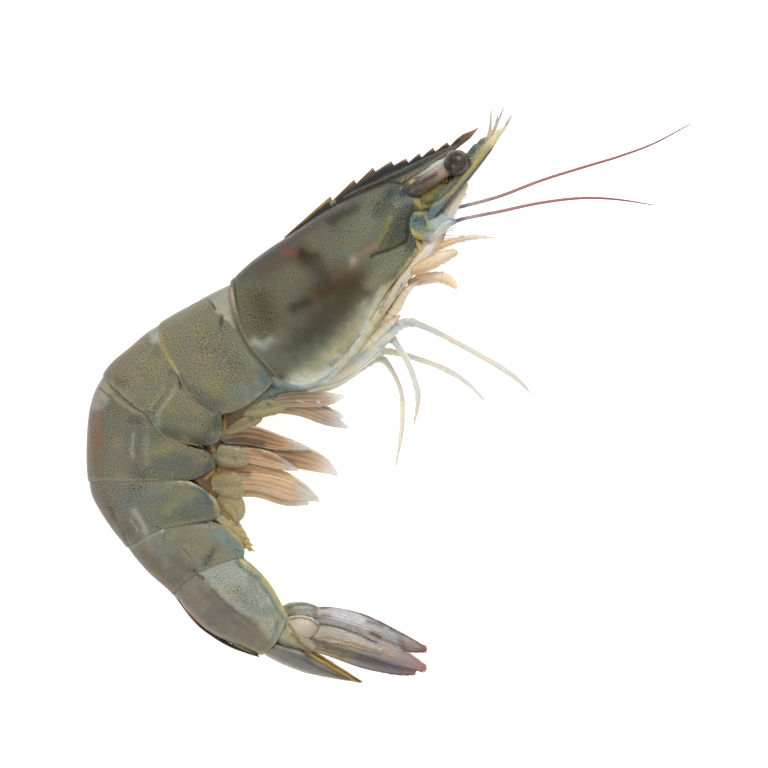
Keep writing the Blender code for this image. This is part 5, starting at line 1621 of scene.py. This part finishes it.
legLooks = {
    "longKnees": {
        "leg_4_right": (2.6, 3.2, 6),
        "leg_5_right": (2.3, 3.1, 5.6),
        "leg_4_left": (2.2, 3.1, 5.2),
        "leg_5_left": (2, 3, 5.2),
    },
    "shortKnees": (1, 2.1),
    "bands": [(0.55, 0.2, 0xece6da, 0.3, 0.02), (-0.5, 0.25, 0x969284, 0.3, -0.02)],
    "longHairs": [
        {
            "low": 0.82, "high": 0.98, "count": 40, "side": 1, "lean": 1.1, "length": 0.5,
            "radius": 0.025, "colour": 0xd6ccbc, "seed": 10,
        },
        {
            "low": 0.82,
            "high": 0.98,
            "count": 40,
            "side": -1,
            "lean": 1.1,
            "length": 0.5,
            "radius": 0.025,
            "colour": 0xd6ccbc,
            "seed": 11,
        },
    ],
    "shortHairs": [
        {
            "low": 0.6,
            "high": 0.97,
            "count": 40,
            "side": -1,
            "lean": 0.8,
            "length": 0.7,
            "radius": 0.03,
            "colour": 0xd8be9c,
            "seed": 12,
        },
    ],
    "longColours": [
        (0, 0xc4c0a8), (0.2, 0xd2cebc), (0.4, 0xdedacc), (0.48, 0xcecec8), (0.62, 0xeee6d8),
        (0.85, 0xf0ece4), (1, 0xe8e0d6),
    ],
    "shortColours": [(0, 0xccbea0), (0.5, 0xdeceb4), (0.85, 0xe2ceb6), (1, 0xd0bea8)],
    "marks": {
        "blueBaseA": stroke([300, 386, 326, 379, 350, 365, 368, 349], 0.3, 0x78949a, 0.6),
        "blueBaseB": stroke([322, 371, 345, 360, 362, 345], 0.24, 0x64828e, 0.55, 0.4),
        "yellowLine": stroke([330, 379, 352, 367, 372, 350], 0.2, 0xc0b070, 0.6),
        "kneeBlue": stroke([390, 330, 403, 323, 412, 325], 0.5, 0x96a2aa, 0.6),
        "kneeBlueLow": stroke([380, 347, 392, 342], 0.5, 0x969ea4, 0.6),
        "kneeBlueLast": stroke([378, 358, 388, 356], 0.5, 0x9aa09e, 0.6),
        "dotStrip": stroke([398, 284, 393, 294, 388, 302], 0.4, 0x687070, 0.65, 0.9),
        "orangeStrip": stroke([402, 280, 393, 292, 386, 306, 380, 318], 0.35, 0xcea070, 0.6),
    },
}


def addLegs():
    for node, line in legs.items():
        isLong = node in legLooks["longKnees"]
        knees = legLooks["longKnees"].get(node, legLooks["shortKnees"])
        colours = legLooks["longColours" if isLong else "shortColours"]
        leg = limbPart(line, 320 if isLong else 120, 30, colours, knees=knees, bulge=0.2)
        rise = paint(leg, legLooks["marks"], ragged=0.12) + addBands(leg, legLooks["bands"])
        hairs = legLooks["longHairs" if isLong else "shortHairs"]
        parts = [finishLimb(leg, rise, 0.04)] + [fringe(leg, **hair) for hair in hairs]
        _, number, side = node.split("_")
        addPiece(f"leg{number}{side.title()}", parts, "leg", [node])


swimmers = {
    "offset": 2.5,  # of a stalk from the plane of symmetry
    "halfThickness": 0.38,
    "leftLag": 1.3,  # how far the first left one's upper blade hangs behind, per point
    "stalks": [
        [(-29.4, -2, 1.6), (-25.9, -2.6, 1.9), (-22.1, -2.2, 1.8), (-18.5, -1.5, 1.4)],
        [(-32.8, -6.2, 2), (-29.4, -6.2, 2), (-26.3, -5.2, 1.5), (-23.6, -4.2, 0.6)],
        [(-34.3, -10.9, 1.4), (-31.3, -11.3, 2.2), (-28.2, -11.9, 2.2), (-25.6, -11.4, 1.3)],
        [(-35.6, -17.6, 1), (-32.4, -17.1, 2.3), (-29, -17, 3.1), (-26.2, -16.6, 2.3)],
        [(-32.2, -19.3, 2.4), (-29.6, -20.6, 2.4), (-28.4, -22.3, 1.7), (-28.2, -24.1, 0.6)],
    ],
    "blades": [
        [
            [(-21.6, -1.3, 1), (-16.4, -0.9, 1.25), (-11.7, -0.9, 1.1), (-8, -0.3, 0.2)],
            [(-21.9, -2.2, 1), (-16.4, -2.7, 1.2), (-11.3, -4.5, 1.15), (-7.3, -6.3, 0.25)],
        ],
        [
            [(-31.6, -8.3, 0.9), (-26.3, -7.7, 1.5), (-20.6, -9.1, 1.2), (-14.3, -10.4, 0.15)],
            [
                (-31.2, -9.2, 0.9), (-25, -10.2, 1.8), (-17.4, -11.7, 1.9), (-12.6, -13.2, 1.4),
                (-9.2, -15.3, 0.25),
            ],
        ],
        [
            [(-28.6, -11.2, 1.1), (-23.6, -12, 1.3), (-19.9, -13.2, 0.9), (-16.8, -14.3, 0.15)],
            [
                (-32.4, -14.3, 0.8), (-26.8, -14.2, 1.4), (-21.2, -15.8, 1.6), (-16.5, -18, 1.2),
                (-12.8, -19.9, 0.2),
            ],
        ],
        [
            [(-29.8, -16.4, 1.3), (-23.8, -16.7, 1.4), (-18.3, -18.3, 1.5), (-12.6, -20.2, 0.15)],
            [(-29.6, -18, 1.2), (-24.2, -18.2, 1.2), (-19.1, -19.7, 1.2), (-14.7, -20.8, 0.2)],
        ],
        [
            [(-29, -20.4, 1), (-28.4, -21.9, 1), (-28.6, -23.5, 0.7), (-29.2, -24.8, 0.15)],
            [(-30.5, -21, 1), (-29.9, -22.5, 1.1), (-29.5, -24, 0.7), (-29.2, -25.6, 0.15)],
        ],
    ],
    "stalkColours": [
        [(0, 0x827e62), (0.5, 0x96906e), (0.8, 0xa09474), (1, 0x9e8a70)],
        [(0, 0x786442), (0.4, 0x867654), (0.8, 0x8e8264), (1, 0x888470)],
        [(0, 0x8e744c), (0.25, 0x8a8466), (0.75, 0x968f72), (1, 0xaa9a7e)],
        [(0, 0x604a2e), (0.25, 0x827452), (0.7, 0x9c8e6c), (1, 0xb49c7c)],
        [(0, 0x96865e), (0.5, 0xaa9a72), (1, 0xbaaa80)],
    ],
    "stalkBands": [
        (0.45, 0.2, 0xaaa07e, 0.4, 0.05), (0.05, 0.16, 0x706850, 0.35, -0.06),
        (-0.5, 0.2, 0xa0926c, 0.3, 0.04),
    ],
    "bladeFullness": 1.2,
    "rimColour": 0xb09868,
    "paleColour": 0xeee8e0,
    "hairs": {
        "low": 0.5, "high": 0.995, "count": 60, "lean": 1.45, "length": 0.8, "radius": 0.028,
        "colour": 0xeee2ce, "clear": 0.5,
    },
    "bladeColours": [
        [(0, 0x8c7a5a), (0.3, 0xa68c6e), (0.7, 0xb49e86), (1, 0xcec4b2)],
        [(0, 0x604c32), (0.25, 0x705638), (0.55, 0x946e48), (0.8, 0xc4a076), (1, 0xe8e2d8)],
        [(0, 0x8c6842), (0.25, 0xb49268), (0.6, 0xccaa82), (0.85, 0xdac0a0), (1, 0xeae0d2)],
        [(0, 0xa88a64), (0.35, 0xc8a67c), (0.7, 0xd6b690), (1, 0xece2d4)],
        [(0, 0xa8966a), (0.6, 0xae9a70), (1, 0xa2885e)],
    ],
    "ribsAndLitEdges": [
        (0.62, 0.09, 0xe8ceb0, 0.25, 0.03), (0.4, 0.05, 0x885e3c, 0.34, -0.03),
        (0.12, 0.08, 0xe8ccb0, 0.28, 0.03), (-0.12, 0.05, 0x885e3c, 0.3, -0.03),
        (-0.45, 0.1, 0xe6cab0, 0.26, 0.03), (-0.7, 0.05, 0x8c6242, 0.25, -0.02),
        # both edges: painted light that lifts the edges out of the shade where they turn away
        (0.95, 0.12, 0xe2ceb0, 0.5, 0), (-0.95, 0.12, 0xe2ceb0, 0.5, 0),
    ],
    "marks": {
        "jointBlueA": stroke([275, 392, 272, 399], 0.7, 0x707466, 0.5),
        "jointBlueB": stroke([246, 454, 246, 462], 0.5, 0x8c9084, 0.5),
        "jointBlueC": stroke([241, 477, 247, 477], 0.55, 0x8c9288, 0.5),
        "jointBlueD": stroke([238, 495, 239, 502], 0.55, 0x888e84, 0.5),
        "darkCore": stroke([224, 441, 242, 441, 262, 444], 0.7, 0x543e26, 0.8),
        "darkEdge": stroke([254, 450, 275, 459, 292, 463], 0.6, 0x765232, 0.65),
        # painted shade in the hollow between the third and fourth stalks
        "stalkGapShadow": stroke([214, 470, 230, 470, 248, 473], 0.7, 0x78522e, 0.8),
        "spotA": stroke([234, 458, 236, 461], 0.3, 0x545c54, 0.8),
        "spotB": stroke([266, 403, 270, 405], 0.3, 0x424e4a, 0.8),
        "spotC": stroke([249, 418, 252, 421], 0.35, 0x585c52, 0.7),
        # painted highlights: small white glints on the first blades
        "highlightA": stroke([298, 401, 303, 403], 0.13, 0xeee6da, 0.6, rise=0.02),
        "highlightB": stroke([318, 402, 320, 403], 0.16, 0xf2ece2, 0.6, rise=0.02),
        "paleFold": stroke([262, 489, 272, 490, 282, 494], 0.3, 0xcebaac, 0.6),
    },
}


def swimmerStalk(index, root):
    line = [(x, y, root, wide, wide * (0.62 - 0.1 * n))
            for n, (x, y, wide) in enumerate(swimmers["stalks"][index])]
    part = limbPart(line, 90, 56, swimmers["stalkColours"][index], 0.7, ends=(0.1, 1.5), box=0.94)
    rise = paint(part, swimmers["marks"], ragged=0.2) + addBands(part, swimmers["stalkBands"])
    rim = ease(np.abs(part["across"]), 0.86, 0.99) + (1 - ease(part["fromEnd"], 0.1, 0.4))
    tone(part, 0.4 * np.clip(rim, 0, 1), swimmers["rimColour"])
    return finishLimb(part, rise + 0.16 * clouds(part["points"], 2.0, 14), 0.06)


# the blade takes the stalk's colour at its root, and grows pale and clear towards its tip
def swimmerBlade(index, outline, height, lag):
    line = [(x, y - lag * n, max(height - 0.25 * n, 0.6), wide * swimmers["bladeFullness"],
             swimmers["halfThickness"]) for n, (x, y, wide) in enumerate(outline)]
    blade = limbPart(line, 100, 48, swimmers["bladeColours"][index], ends=(1.5, 2.0))
    tone(blade, 0.8 * (1 - ease(blade["share"], 0.02, 0.2)), swimmers["stalkColours"][index][-1][1])
    rise = addBands(blade, swimmers["ribsAndLitEdges"]) + paint(blade, swimmers["marks"], ragged=0.15)
    pale = ease(blade["share"], 0.66, 1.0)
    tone(blade, 0.85 * pale, swimmers["paleColour"])
    blade["clear"] *= 1 - 0.55 * pale
    return finishLimb(blade, rise * (1 - 0.6 * pale), 0.04)


def addSwimmers():
    for index, outlines in enumerate(swimmers["blades"]):
        halfWidth = alongCurve(abdomen["halfWidths"], 2 * index + 1)[..., 0]
        for name, side in sides.items():
            root = float(halfWidth) - bodySizes["pressed"] + side * swimmers["offset"]
            parts = [swimmerStalk(index, root)]
            for k, outline in enumerate(outlines):
                lags = index == 0 and side < 0 and k == 0
                blade = swimmerBlade(index, outline, root + side * (0.5 - k), swimmers["leftLag"] * lags)
                parts.append(blade)
                for edge in (1, -1):
                    parts.append(fringe(blade, side=edge, seed=20 + k + edge, **swimmers["hairs"]))
            addPiece(f"swimmer{index + 1}{name.title()}", parts, "flesh", [f"swimmer_{index + 1}_{name}"])


telson = {
    "line": [
        (-23.6, -47.6, 3.9, 1.5, 2.3), (-19.3, -49.2, 3.9, 2.1, 2.6), (-14.6, -50.8, 3.8, 2.25, 2.2),
        (-9.4, -52.9, 3.6, 1.25, 1.3), (-4.6, -54.68, 3.4, 0.12, 0.15),
    ],
    # the first band is a groove along the middle of its back, which faces the outside of the curl
    "bands": [(-0.75, 0.12, 0x4e463c, 0.5, -0.14), (-0.45, 0.1, None, 0, 0.05)],
    "colours": [(0, 0x7a7468), (0.2, 0x807a70), (0.6, 0x8c847a), (0.85, 0x8c7a5c), (1, 0x46382c)],
    "marks": {
        "grey": stroke([272, 655, 295, 668, 320, 677], 0.9, 0x8e867c, 0.7),
        "bluish": stroke([270, 647, 280, 648, 294, 655, 310, 662], 0.6, 0x606866, 0.75, 0.3),
        "paleTop": stroke([278, 643, 292, 640, 300, 648], 0.9, 0xa0987c, 0.8),
        "darkLine": stroke(
            [296, 642, 305, 654, 317, 660, 333, 669, 349, 678],
            0.3, 0x423222, 0.85, edge=3),
        "goldBand": stroke(
            [301, 643, 316, 656, 333, 665.5, 349, 675, 361, 682],
            0.62, 0xbe9e52, 0.95, edge=4, rise=0.08),
        "centreStripe": stroke(
            [312, 652, 333, 665.5, 349, 675, 361, 682],
            0.17, 0x3a261e, 0.9, rise=-0.08),
        "darkUnder": stroke([304, 659, 318, 668, 336, 675, 352, 681], 0.3, 0x5c544c, 0.7, rise=-0.06),
        "darkRoot": stroke([266, 641, 270, 646], 0.6, 0x523e2e, 0.7),
        "yellowRoot": stroke([262, 650, 267, 654], 0.5, 0x967c42, 0.8),
    },
}

fanStalks = {
    "right": [
        (-19.3, -44.1, 5.4, 1.4, 1.2), (-17.6, -44, 5.5, 2, 1.5), (-15.2, -44.3, 5.5, 2.15, 1.5),
        (-12.7, -44.9, 5.4, 1.3, 1),
    ],
    "left": [
        (-19.6, -41.8, 2.2, 1.5, 1.3), (-18, -41.2, 2.2, 1.7, 1.5), (-15.7, -41.2, 2, 1.75, 1.5),
        (-13, -41.8, 2, 1.6, 1.1),
    ],
}

fanStalkLooks = {
    "rightColours": [(0, 0xa89870), (0.3, 0xc4b8a0), (0.7, 0xbeb29e), (1, 0x968870)],
    "leftColours": [(0, 0x94988a), (0.5, 0x9ea092), (1, 0x969284)],
    "marks": {
        "brownTop": stroke([291, 619, 300, 618, 312, 621, 318, 626], 0.24, 0x6c5640, 0.85, rise=0.07),
        "brownSide": stroke([289, 624, 294, 632, 301, 640, 308, 645], 0.26, 0x745a3a, 0.85, rise=0.07),
        "brownEnd": stroke([319, 627, 316, 634, 309, 639], 0.22, 0x8e724a, 0.8, rise=0.05),
        "creamHeart": stroke([300, 627, 309, 630], 1, 0xc8beac, 0.8, rise=0.15),
        "leftTop": stroke([288, 608, 300, 604, 310, 605, 317, 608], 0.26, 0x60564c, 0.7),
        "leftShine": stroke([298, 614, 309, 613, 313, 619], 0.35, 0xced0c6, 0.7),
    },
}

fanBlades = {
    "uropod_exopod_right": {
        "line": [
            (-13.6, -45, 5.8, 1.6, 0.5), (-9.8, -45.9, 6, 1.9, 0.55), (-4.1, -47.5, 5.7, 2, 0.5),
            (2.6, -50, 5.2, 1.7, 0.4), (7.6, -52.2, 4.8, 0.7, 0.25),
        ],
        "colours": [(0, 0xb6ac96), (0.3, 0xb8ac9c), (0.6, 0xa89892), (0.88, 0xa08c88), (1, 0xbe8a86)],
    },
    "uropod_endopod_right": {
        "line": [
            (-14.4, -47.4, 4.4, 1.3, 0.5), (-9.8, -48.4, 4.3, 1.75, 0.5), (-4.1, -50.3, 4, 1.9, 0.45),
            (1.6, -51.9, 3.7, 1.4, 0.35), (5.6, -52.7, 3.5, 0.6, 0.2),
        ],
        "colours": [(0, 0xb2aa92), (0.3, 0xaea69a), (0.6, 0x9e9698), (0.9, 0xa09094), (1, 0xb08c8c)],
    },
    "uropod_exopod_left": {
        "line": [
            (-13.8, -42, 2.6, 1.7, 0.5), (-9.8, -42.4, 2.4, 2.1, 0.55), (-4.1, -44.1, 2.1, 2.3, 0.5),
            (2.6, -47, 1.8, 1.8, 0.4), (7.7, -48.5, 1.6, 0.5, 0.2),
        ],
        "colours": [
            (0, 0xa4a298), (0.25, 0xb8b4b2), (0.5, 0xbebaba), (0.75, 0xa69e9c), (0.94, 0x988280),
            (1, 0x9c6462),
        ],
    },
    "uropod_endopod_left": {
        "line": [
            (-14.2, -44.7, 1.5, 1.3, 0.4), (-9.8, -45.5, 1.4, 1.7, 0.4), (-4.1, -47.6, 1.2, 1.8, 0.4),
            (1, -49.7, 1, 1.2, 0.3), (4.8, -51.2, 0.9, 0.4, 0.2),
        ],
        "colours": [(0, 0xa69e88), (0.5, 0xa0948c), (0.9, 0xa48c88), (1, 0xba8c88)],
    },
}

fanLooks = {
    "twist": 0.35,
    "mottleColour": 0x685e5c,
    "tipColour": 0xa46864,
    "hairs": {
        "high": 0.995, "count": 160, "lean": 1.25, "length": 0.6, "radius": 0.028, "colour": 0xb06c64,
        "clear": 0.7,
    },
    "bands": [
        (0.93, 0.1, 0x605248, 0.6, 0.03), (0.3, 0.07, 0x6e5c4e, 0.35, 0.08),
        (0.16, 0.05, 0xb2a69c, 0.35, -0.05), (-0.3, 0.06, 0xb0a49c, 0.3, 0.05),
        (-0.6, 0.08, 0x7a6c66, 0.3, -0.03),
    ],
    "marks": {
        "sheen": stroke([322, 612, 340, 616, 358, 621, 376, 628], 0.85, 0xc8c4c8, 0.8),
        "oliveRoot": stroke([318, 616, 330, 616], 0.5, 0x807860, 0.7),
        "paleSpot": stroke([320, 621, 330, 624], 0.3, 0xc6c2b6, 0.5),
        "mottleA": stroke([369, 622, 382, 626], 0.6, 0x6c5c58, 0.9),
        "mottleB": stroke([372, 633, 380, 637], 0.6, 0x665854, 0.9),
        "mottleC": stroke([384, 640, 394, 642], 0.8, 0xa29e9c, 0.7),
        "mottleD": stroke([401, 641, 404, 650], 0.7, 0x70624e, 0.8),
        "mottleE": stroke([358, 634, 368, 639], 0.5, 0x7e706c, 0.7),
        "cream": stroke([322, 633, 338, 635, 352, 639], 0.6, 0xaa9e8a, 0.7),
        "mauve": stroke([362, 659, 382, 661, 400, 667], 0.95, 0x80767c, 0.8),
        "greyLow": stroke([326, 647, 346, 652, 364, 655], 0.7, 0x948e82, 0.7),
        "topLine": stroke(
            [317, 607, 338, 606, 356, 611, 375, 620, 400, 633, 424, 646],
            0.3, 0x584a42, 0.85, edge=3),
        "ridge": stroke(
            [319, 625, 333, 626, 347, 630, 362, 637, 376, 643],
            0.3, 0x3e322a, 0.95, edge=3, rise=0.05),
        "goldRidge": stroke(
            [312, 640, 328, 638, 344, 641, 364, 647, 384, 652],
            0.24, 0x9c8260, 0.85, edge=3, rise=0.07),
        "oliveRidge": stroke([322, 642, 338, 644, 356, 648, 380, 655], 0.18, 0x6c6654, 0.8, edge=3),
        "yellowEdge": stroke([313, 649, 330, 655, 352, 661], 0.34, 0xb0a476, 0.75, edge=3),
        "brownInner": stroke([318, 649, 342, 656, 360, 659], 0.2, 0x92765e, 0.85, edge=3),
        "redTipTop": stroke([412, 654, 420, 651, 426, 647], 0.34, 0x964a46, 0.9),
        "redTipLow": stroke([408, 655, 416, 660, 424, 667], 0.25, 0xa8706a, 0.6),
        "redLow": stroke([404, 667, 412, 671, 420, 672], 0.25, 0x966662, 0.55),
    },
}


def addTail():
    part = limbPart(telson["line"], 220, 96, telson["colours"], 0.2)
    rise = paint(part, telson["marks"], ragged=0.12) + addBands(part, telson["bands"])
    addPiece("tailSpike", [finishLimb(part, rise, 0.05)], "fan", ["telson"])
    for name in sides:
        part = limbPart(fanStalks[name], 90, 72, fanStalkLooks[f"{name}Colours"], 0.1, ends=(0.3, 0.6))
        rise = paint(part, fanStalkLooks["marks"], ragged=0.12)
        addPiece(f"fanStalk{name.title()}", [finishLimb(part, rise, 0.08)], "flesh",
                 [f"uropod_stalk_{name}"])
    for node, blade in fanBlades.items():
        part = limbPart(blade["line"], 180, 84, blade["colours"], 0.25, twist=fanLooks["twist"],
                        ends=(0.4, 1.3))
        rise = addBands(part, fanLooks["bands"]) + paint(part, fanLooks["marks"], ragged=0.2)
        tone(part, 0.25 * ease(clouds(part["points"], 1.5, 21), 0.1, 0.6), fanLooks["mottleColour"])
        tone(part, 0.6 * ease(part["share"], 0.965, 1.0), fanLooks["tipColour"])
        part["clear"] *= 1 - 0.15 * ease(part["share"], 0.85, 1.0)
        parts = [finishLimb(part, rise, 0.03)]
        for edge, low in ((1, 0.75), (-1, 0.35)):
            parts.append(fringe(part, low, side=edge, seed=30 + edge, **fanLooks["hairs"]))
        _, kind, side = node.split("_")
        addPiece(f"fan{kind.title()}{side.title()}", parts, "fan", [node])


softParts = {
    "chestFloor": {
        "line": [
            (-23.7, 4.3, 8, 1.4, 4.4), (-19.3, 2.8, 8, 2.3, 5.3), (-13, 3.9, 8, 2.8, 5.9),
            (-7.7, 7.9, 8, 2.7, 5.8), (-3.1, 13.8, 8, 2.2, 5.2), (1, 19.5, 8, 1.6, 4),
            (4.8, 24.8, 8, 1.7, 3.4), (8.3, 29.2, 8.2, 2.2, 2.8), (10.2, 32, 8.5, 1.7, 2.2),
            (11.5, 35.1, 8.8, 1.1, 1.6), (12.4, 37, 8.8, 0.4, 0.6),
        ],
        "colours": [
            (0, 0x708286), (0.12, 0x9ea8a2), (0.35, 0xcecebc), (0.55, 0xccc2a4), (0.75, 0xc8ae8a),
            (1, 0xdcccb8),
        ],
        "marks": {
            "blueLine": stroke([262, 377, 276, 386, 300, 392, 330, 388], 0.5, 0x62828e, 0.75, 0.4),
            "whiteLine": stroke([300, 387, 335, 378, 362, 354, 378, 330], 0.3, 0xcecebe, 0.7, rise=0.1),
            "creamLine": stroke([340, 370, 366, 340, 384, 308], 0.35, 0xcabe96, 0.6, rise=0.08),
            "orange": stroke([384, 318, 398, 290, 418, 262, 430, 246], 0.5, 0xc49664, 0.7),
            "dots": stroke([397, 281, 391, 291, 385, 302, 380, 311], 0.3, 0x6e7064, 0.7, 1.3),
        },
        "folds": (2.6, 0.03),
    },
    "bellyMuscle": {
        "line": [
            (-17.6, 1.4, 7.4, 1.5, 2.4), (-22.9, 0.5, 7.4, 2.1, 3.6), (-27.8, -2.4, 7.2, 2.8, 4),
            (-32.6, -7.1, 7, 3, 4.2), (-34.7, -12.1, 6.8, 3, 4.2), (-35.1, -17, 6.5, 2.9, 4),
            (-33.3, -21.4, 6.2, 2.8, 3.6), (-29.7, -25.4, 5.8, 2.2, 3), (-26.3, -29.2, 5.4, 1.2, 2.4),
        ],
        # the dark brown middle is partly the muscle's own colour, partly painted shade of the hollow under
        # the lobes between the swimming legs
        "colours": [
            (0, 0x809292), (0.12, 0x7a847a), (0.22, 0x7c6c4e), (0.36, 0x5c4228), (0.55, 0x4c331e),
            (0.74, 0x80663e), (1, 0xa89868),
        ],
        "marks": {
            "yellowEdgeA": stroke([213, 443, 214, 455, 219, 466], 0.3, 0xbe9e62, 0.8, rise=0.1),
            "yellowEdgeB": stroke([206, 478, 212, 474, 217, 466], 0.3, 0xc4a46c, 0.8, rise=0.1),
            "yellowEdgeC": stroke([224, 414, 225, 424, 222, 438], 0.3, 0xbc9c62, 0.8, rise=0.1),
            "blueRoot": stroke([246, 403, 262, 396], 0.9, 0x68706a, 0.7, 0.4),
        },
        "folds": (1.7, 0.05),
    },
    "tailHinge": {
        "line": [
            (-21.6, -46.3, 4.6, 1.9, 2.2), (-19.1, -45.7, 4.8, 2.5, 2.3), (-16.4, -46.6, 4.6, 2.1, 2),
            (-14.3, -47.8, 4.4, 1.4, 1.5), (-12.8, -48.4, 4.2, 0.7, 0.9),
        ],
        "colours": [(0, 0x969074), (0.3, 0xa8a284), (0.6, 0xaea68c), (1, 0xa09476)],
        "marks": {
            "blueNotch": stroke([287, 622, 286, 631], 0.3, 0x68766c, 0.7),
            "brownLine": stroke([293, 634, 301, 643, 309, 650], 0.35, 0x745a38, 0.8, rise=0.12),
            "greyPatch": stroke([284, 644, 296, 650], 0.7, 0x76766a, 0.6),
            "greyEdge": stroke([279, 622, 276, 632], 0.35, 0x6c7674, 0.7),
            "paleEnd": stroke([312, 641, 316, 646], 0.6, 0xb6b2a0, 0.7),
        },
        "folds": (1.5, 0),
    },
    "bellyFringe": {
        "line": [
            (-33.2, -22.3, 8.8, 0.7, 0.5), (-30.9, -24.2, 9, 0.9, 0.5), (-28.8, -26.1, 8.8, 0.85, 0.45),
            (-27.1, -28, 8.4, 0.7, 0.4), (-25.7, -29.9, 8, 0.3, 0.25),
        ],
        "colours": [(0, 0xa29674), (0.4, 0xaa9c74), (0.8, 0xb2a06e), (1, 0xbca468)],
        "marks": {
            "goldEdge": stroke([214, 516, 226, 530, 240, 545, 250, 554], 0.3, 0xbea862, 0.5, rise=0.05),
        },
        "folds": (1.9, 0),
    },
}

bellyTeeth = {
    "rootsAndTips": [
        ((-30.1, -24), (-28.6, -24.8)), ((-29, -25.2), (-27.3, -25.9)), ((-28, -26.5), (-25.9, -27.6)),
        ((-27.1, -27.8), (-25.2, -28.8)), ((-26.7, -28.6), (-25, -29.9)),
    ],
    "height": 8.7,
    "colours": [(0, 0xb4a26e), (1, 0xbea65e)],
}

# painted shade laid in the troughs of the folds
foldShadeColour = 0x60503a


# soft skin with folds across it: the folds are a sine along its length, bent by noise, and their troughs get
# painted shade
def addSoftParts():
    for name, soft in softParts.items():
        part = limbPart(soft["line"], 220, 44, soft["colours"], 0.1, ends=(1.2, 1.2))
        rise = paint(part, soft["marks"], ragged=0.3)
        spacing, depth = soft["folds"]
        folds = np.sin(2 * np.pi * part["fromStart"] / spacing + 2.0 * clouds(part["points"], 4.0, 17))
        tone(part, 4 * depth * ease(-folds, 0.2, 1.0), foldShadeColour)
        parts = [finishLimb(part, rise + depth * folds - 0.1, 0.08)]
        if name == "bellyFringe":
            z = bellyTeeth["height"]
            for (rootX, rootY), (tipX, tipY) in bellyTeeth["rootsAndTips"]:
                middle = ((rootX + tipX) / 2, (rootY + tipY) / 2, z, 0.32, 0.22)
                line = [(rootX, rootY, z, 0.55, 0.3), middle, (tipX, tipY, z, 0.05, 0.05)]
                parts.append(finishLimb(limbPart(line, 30, 20, bellyTeeth["colours"])))
        addPiece(name, parts, "flesh")


addEyes()
addFeelers()
addMouth()
print("head limbs ready")
addLegs()
addSwimmers()
print("legs and swimming legs ready")
addTail()
addSoftParts()
print("tail fan and soft parts ready")
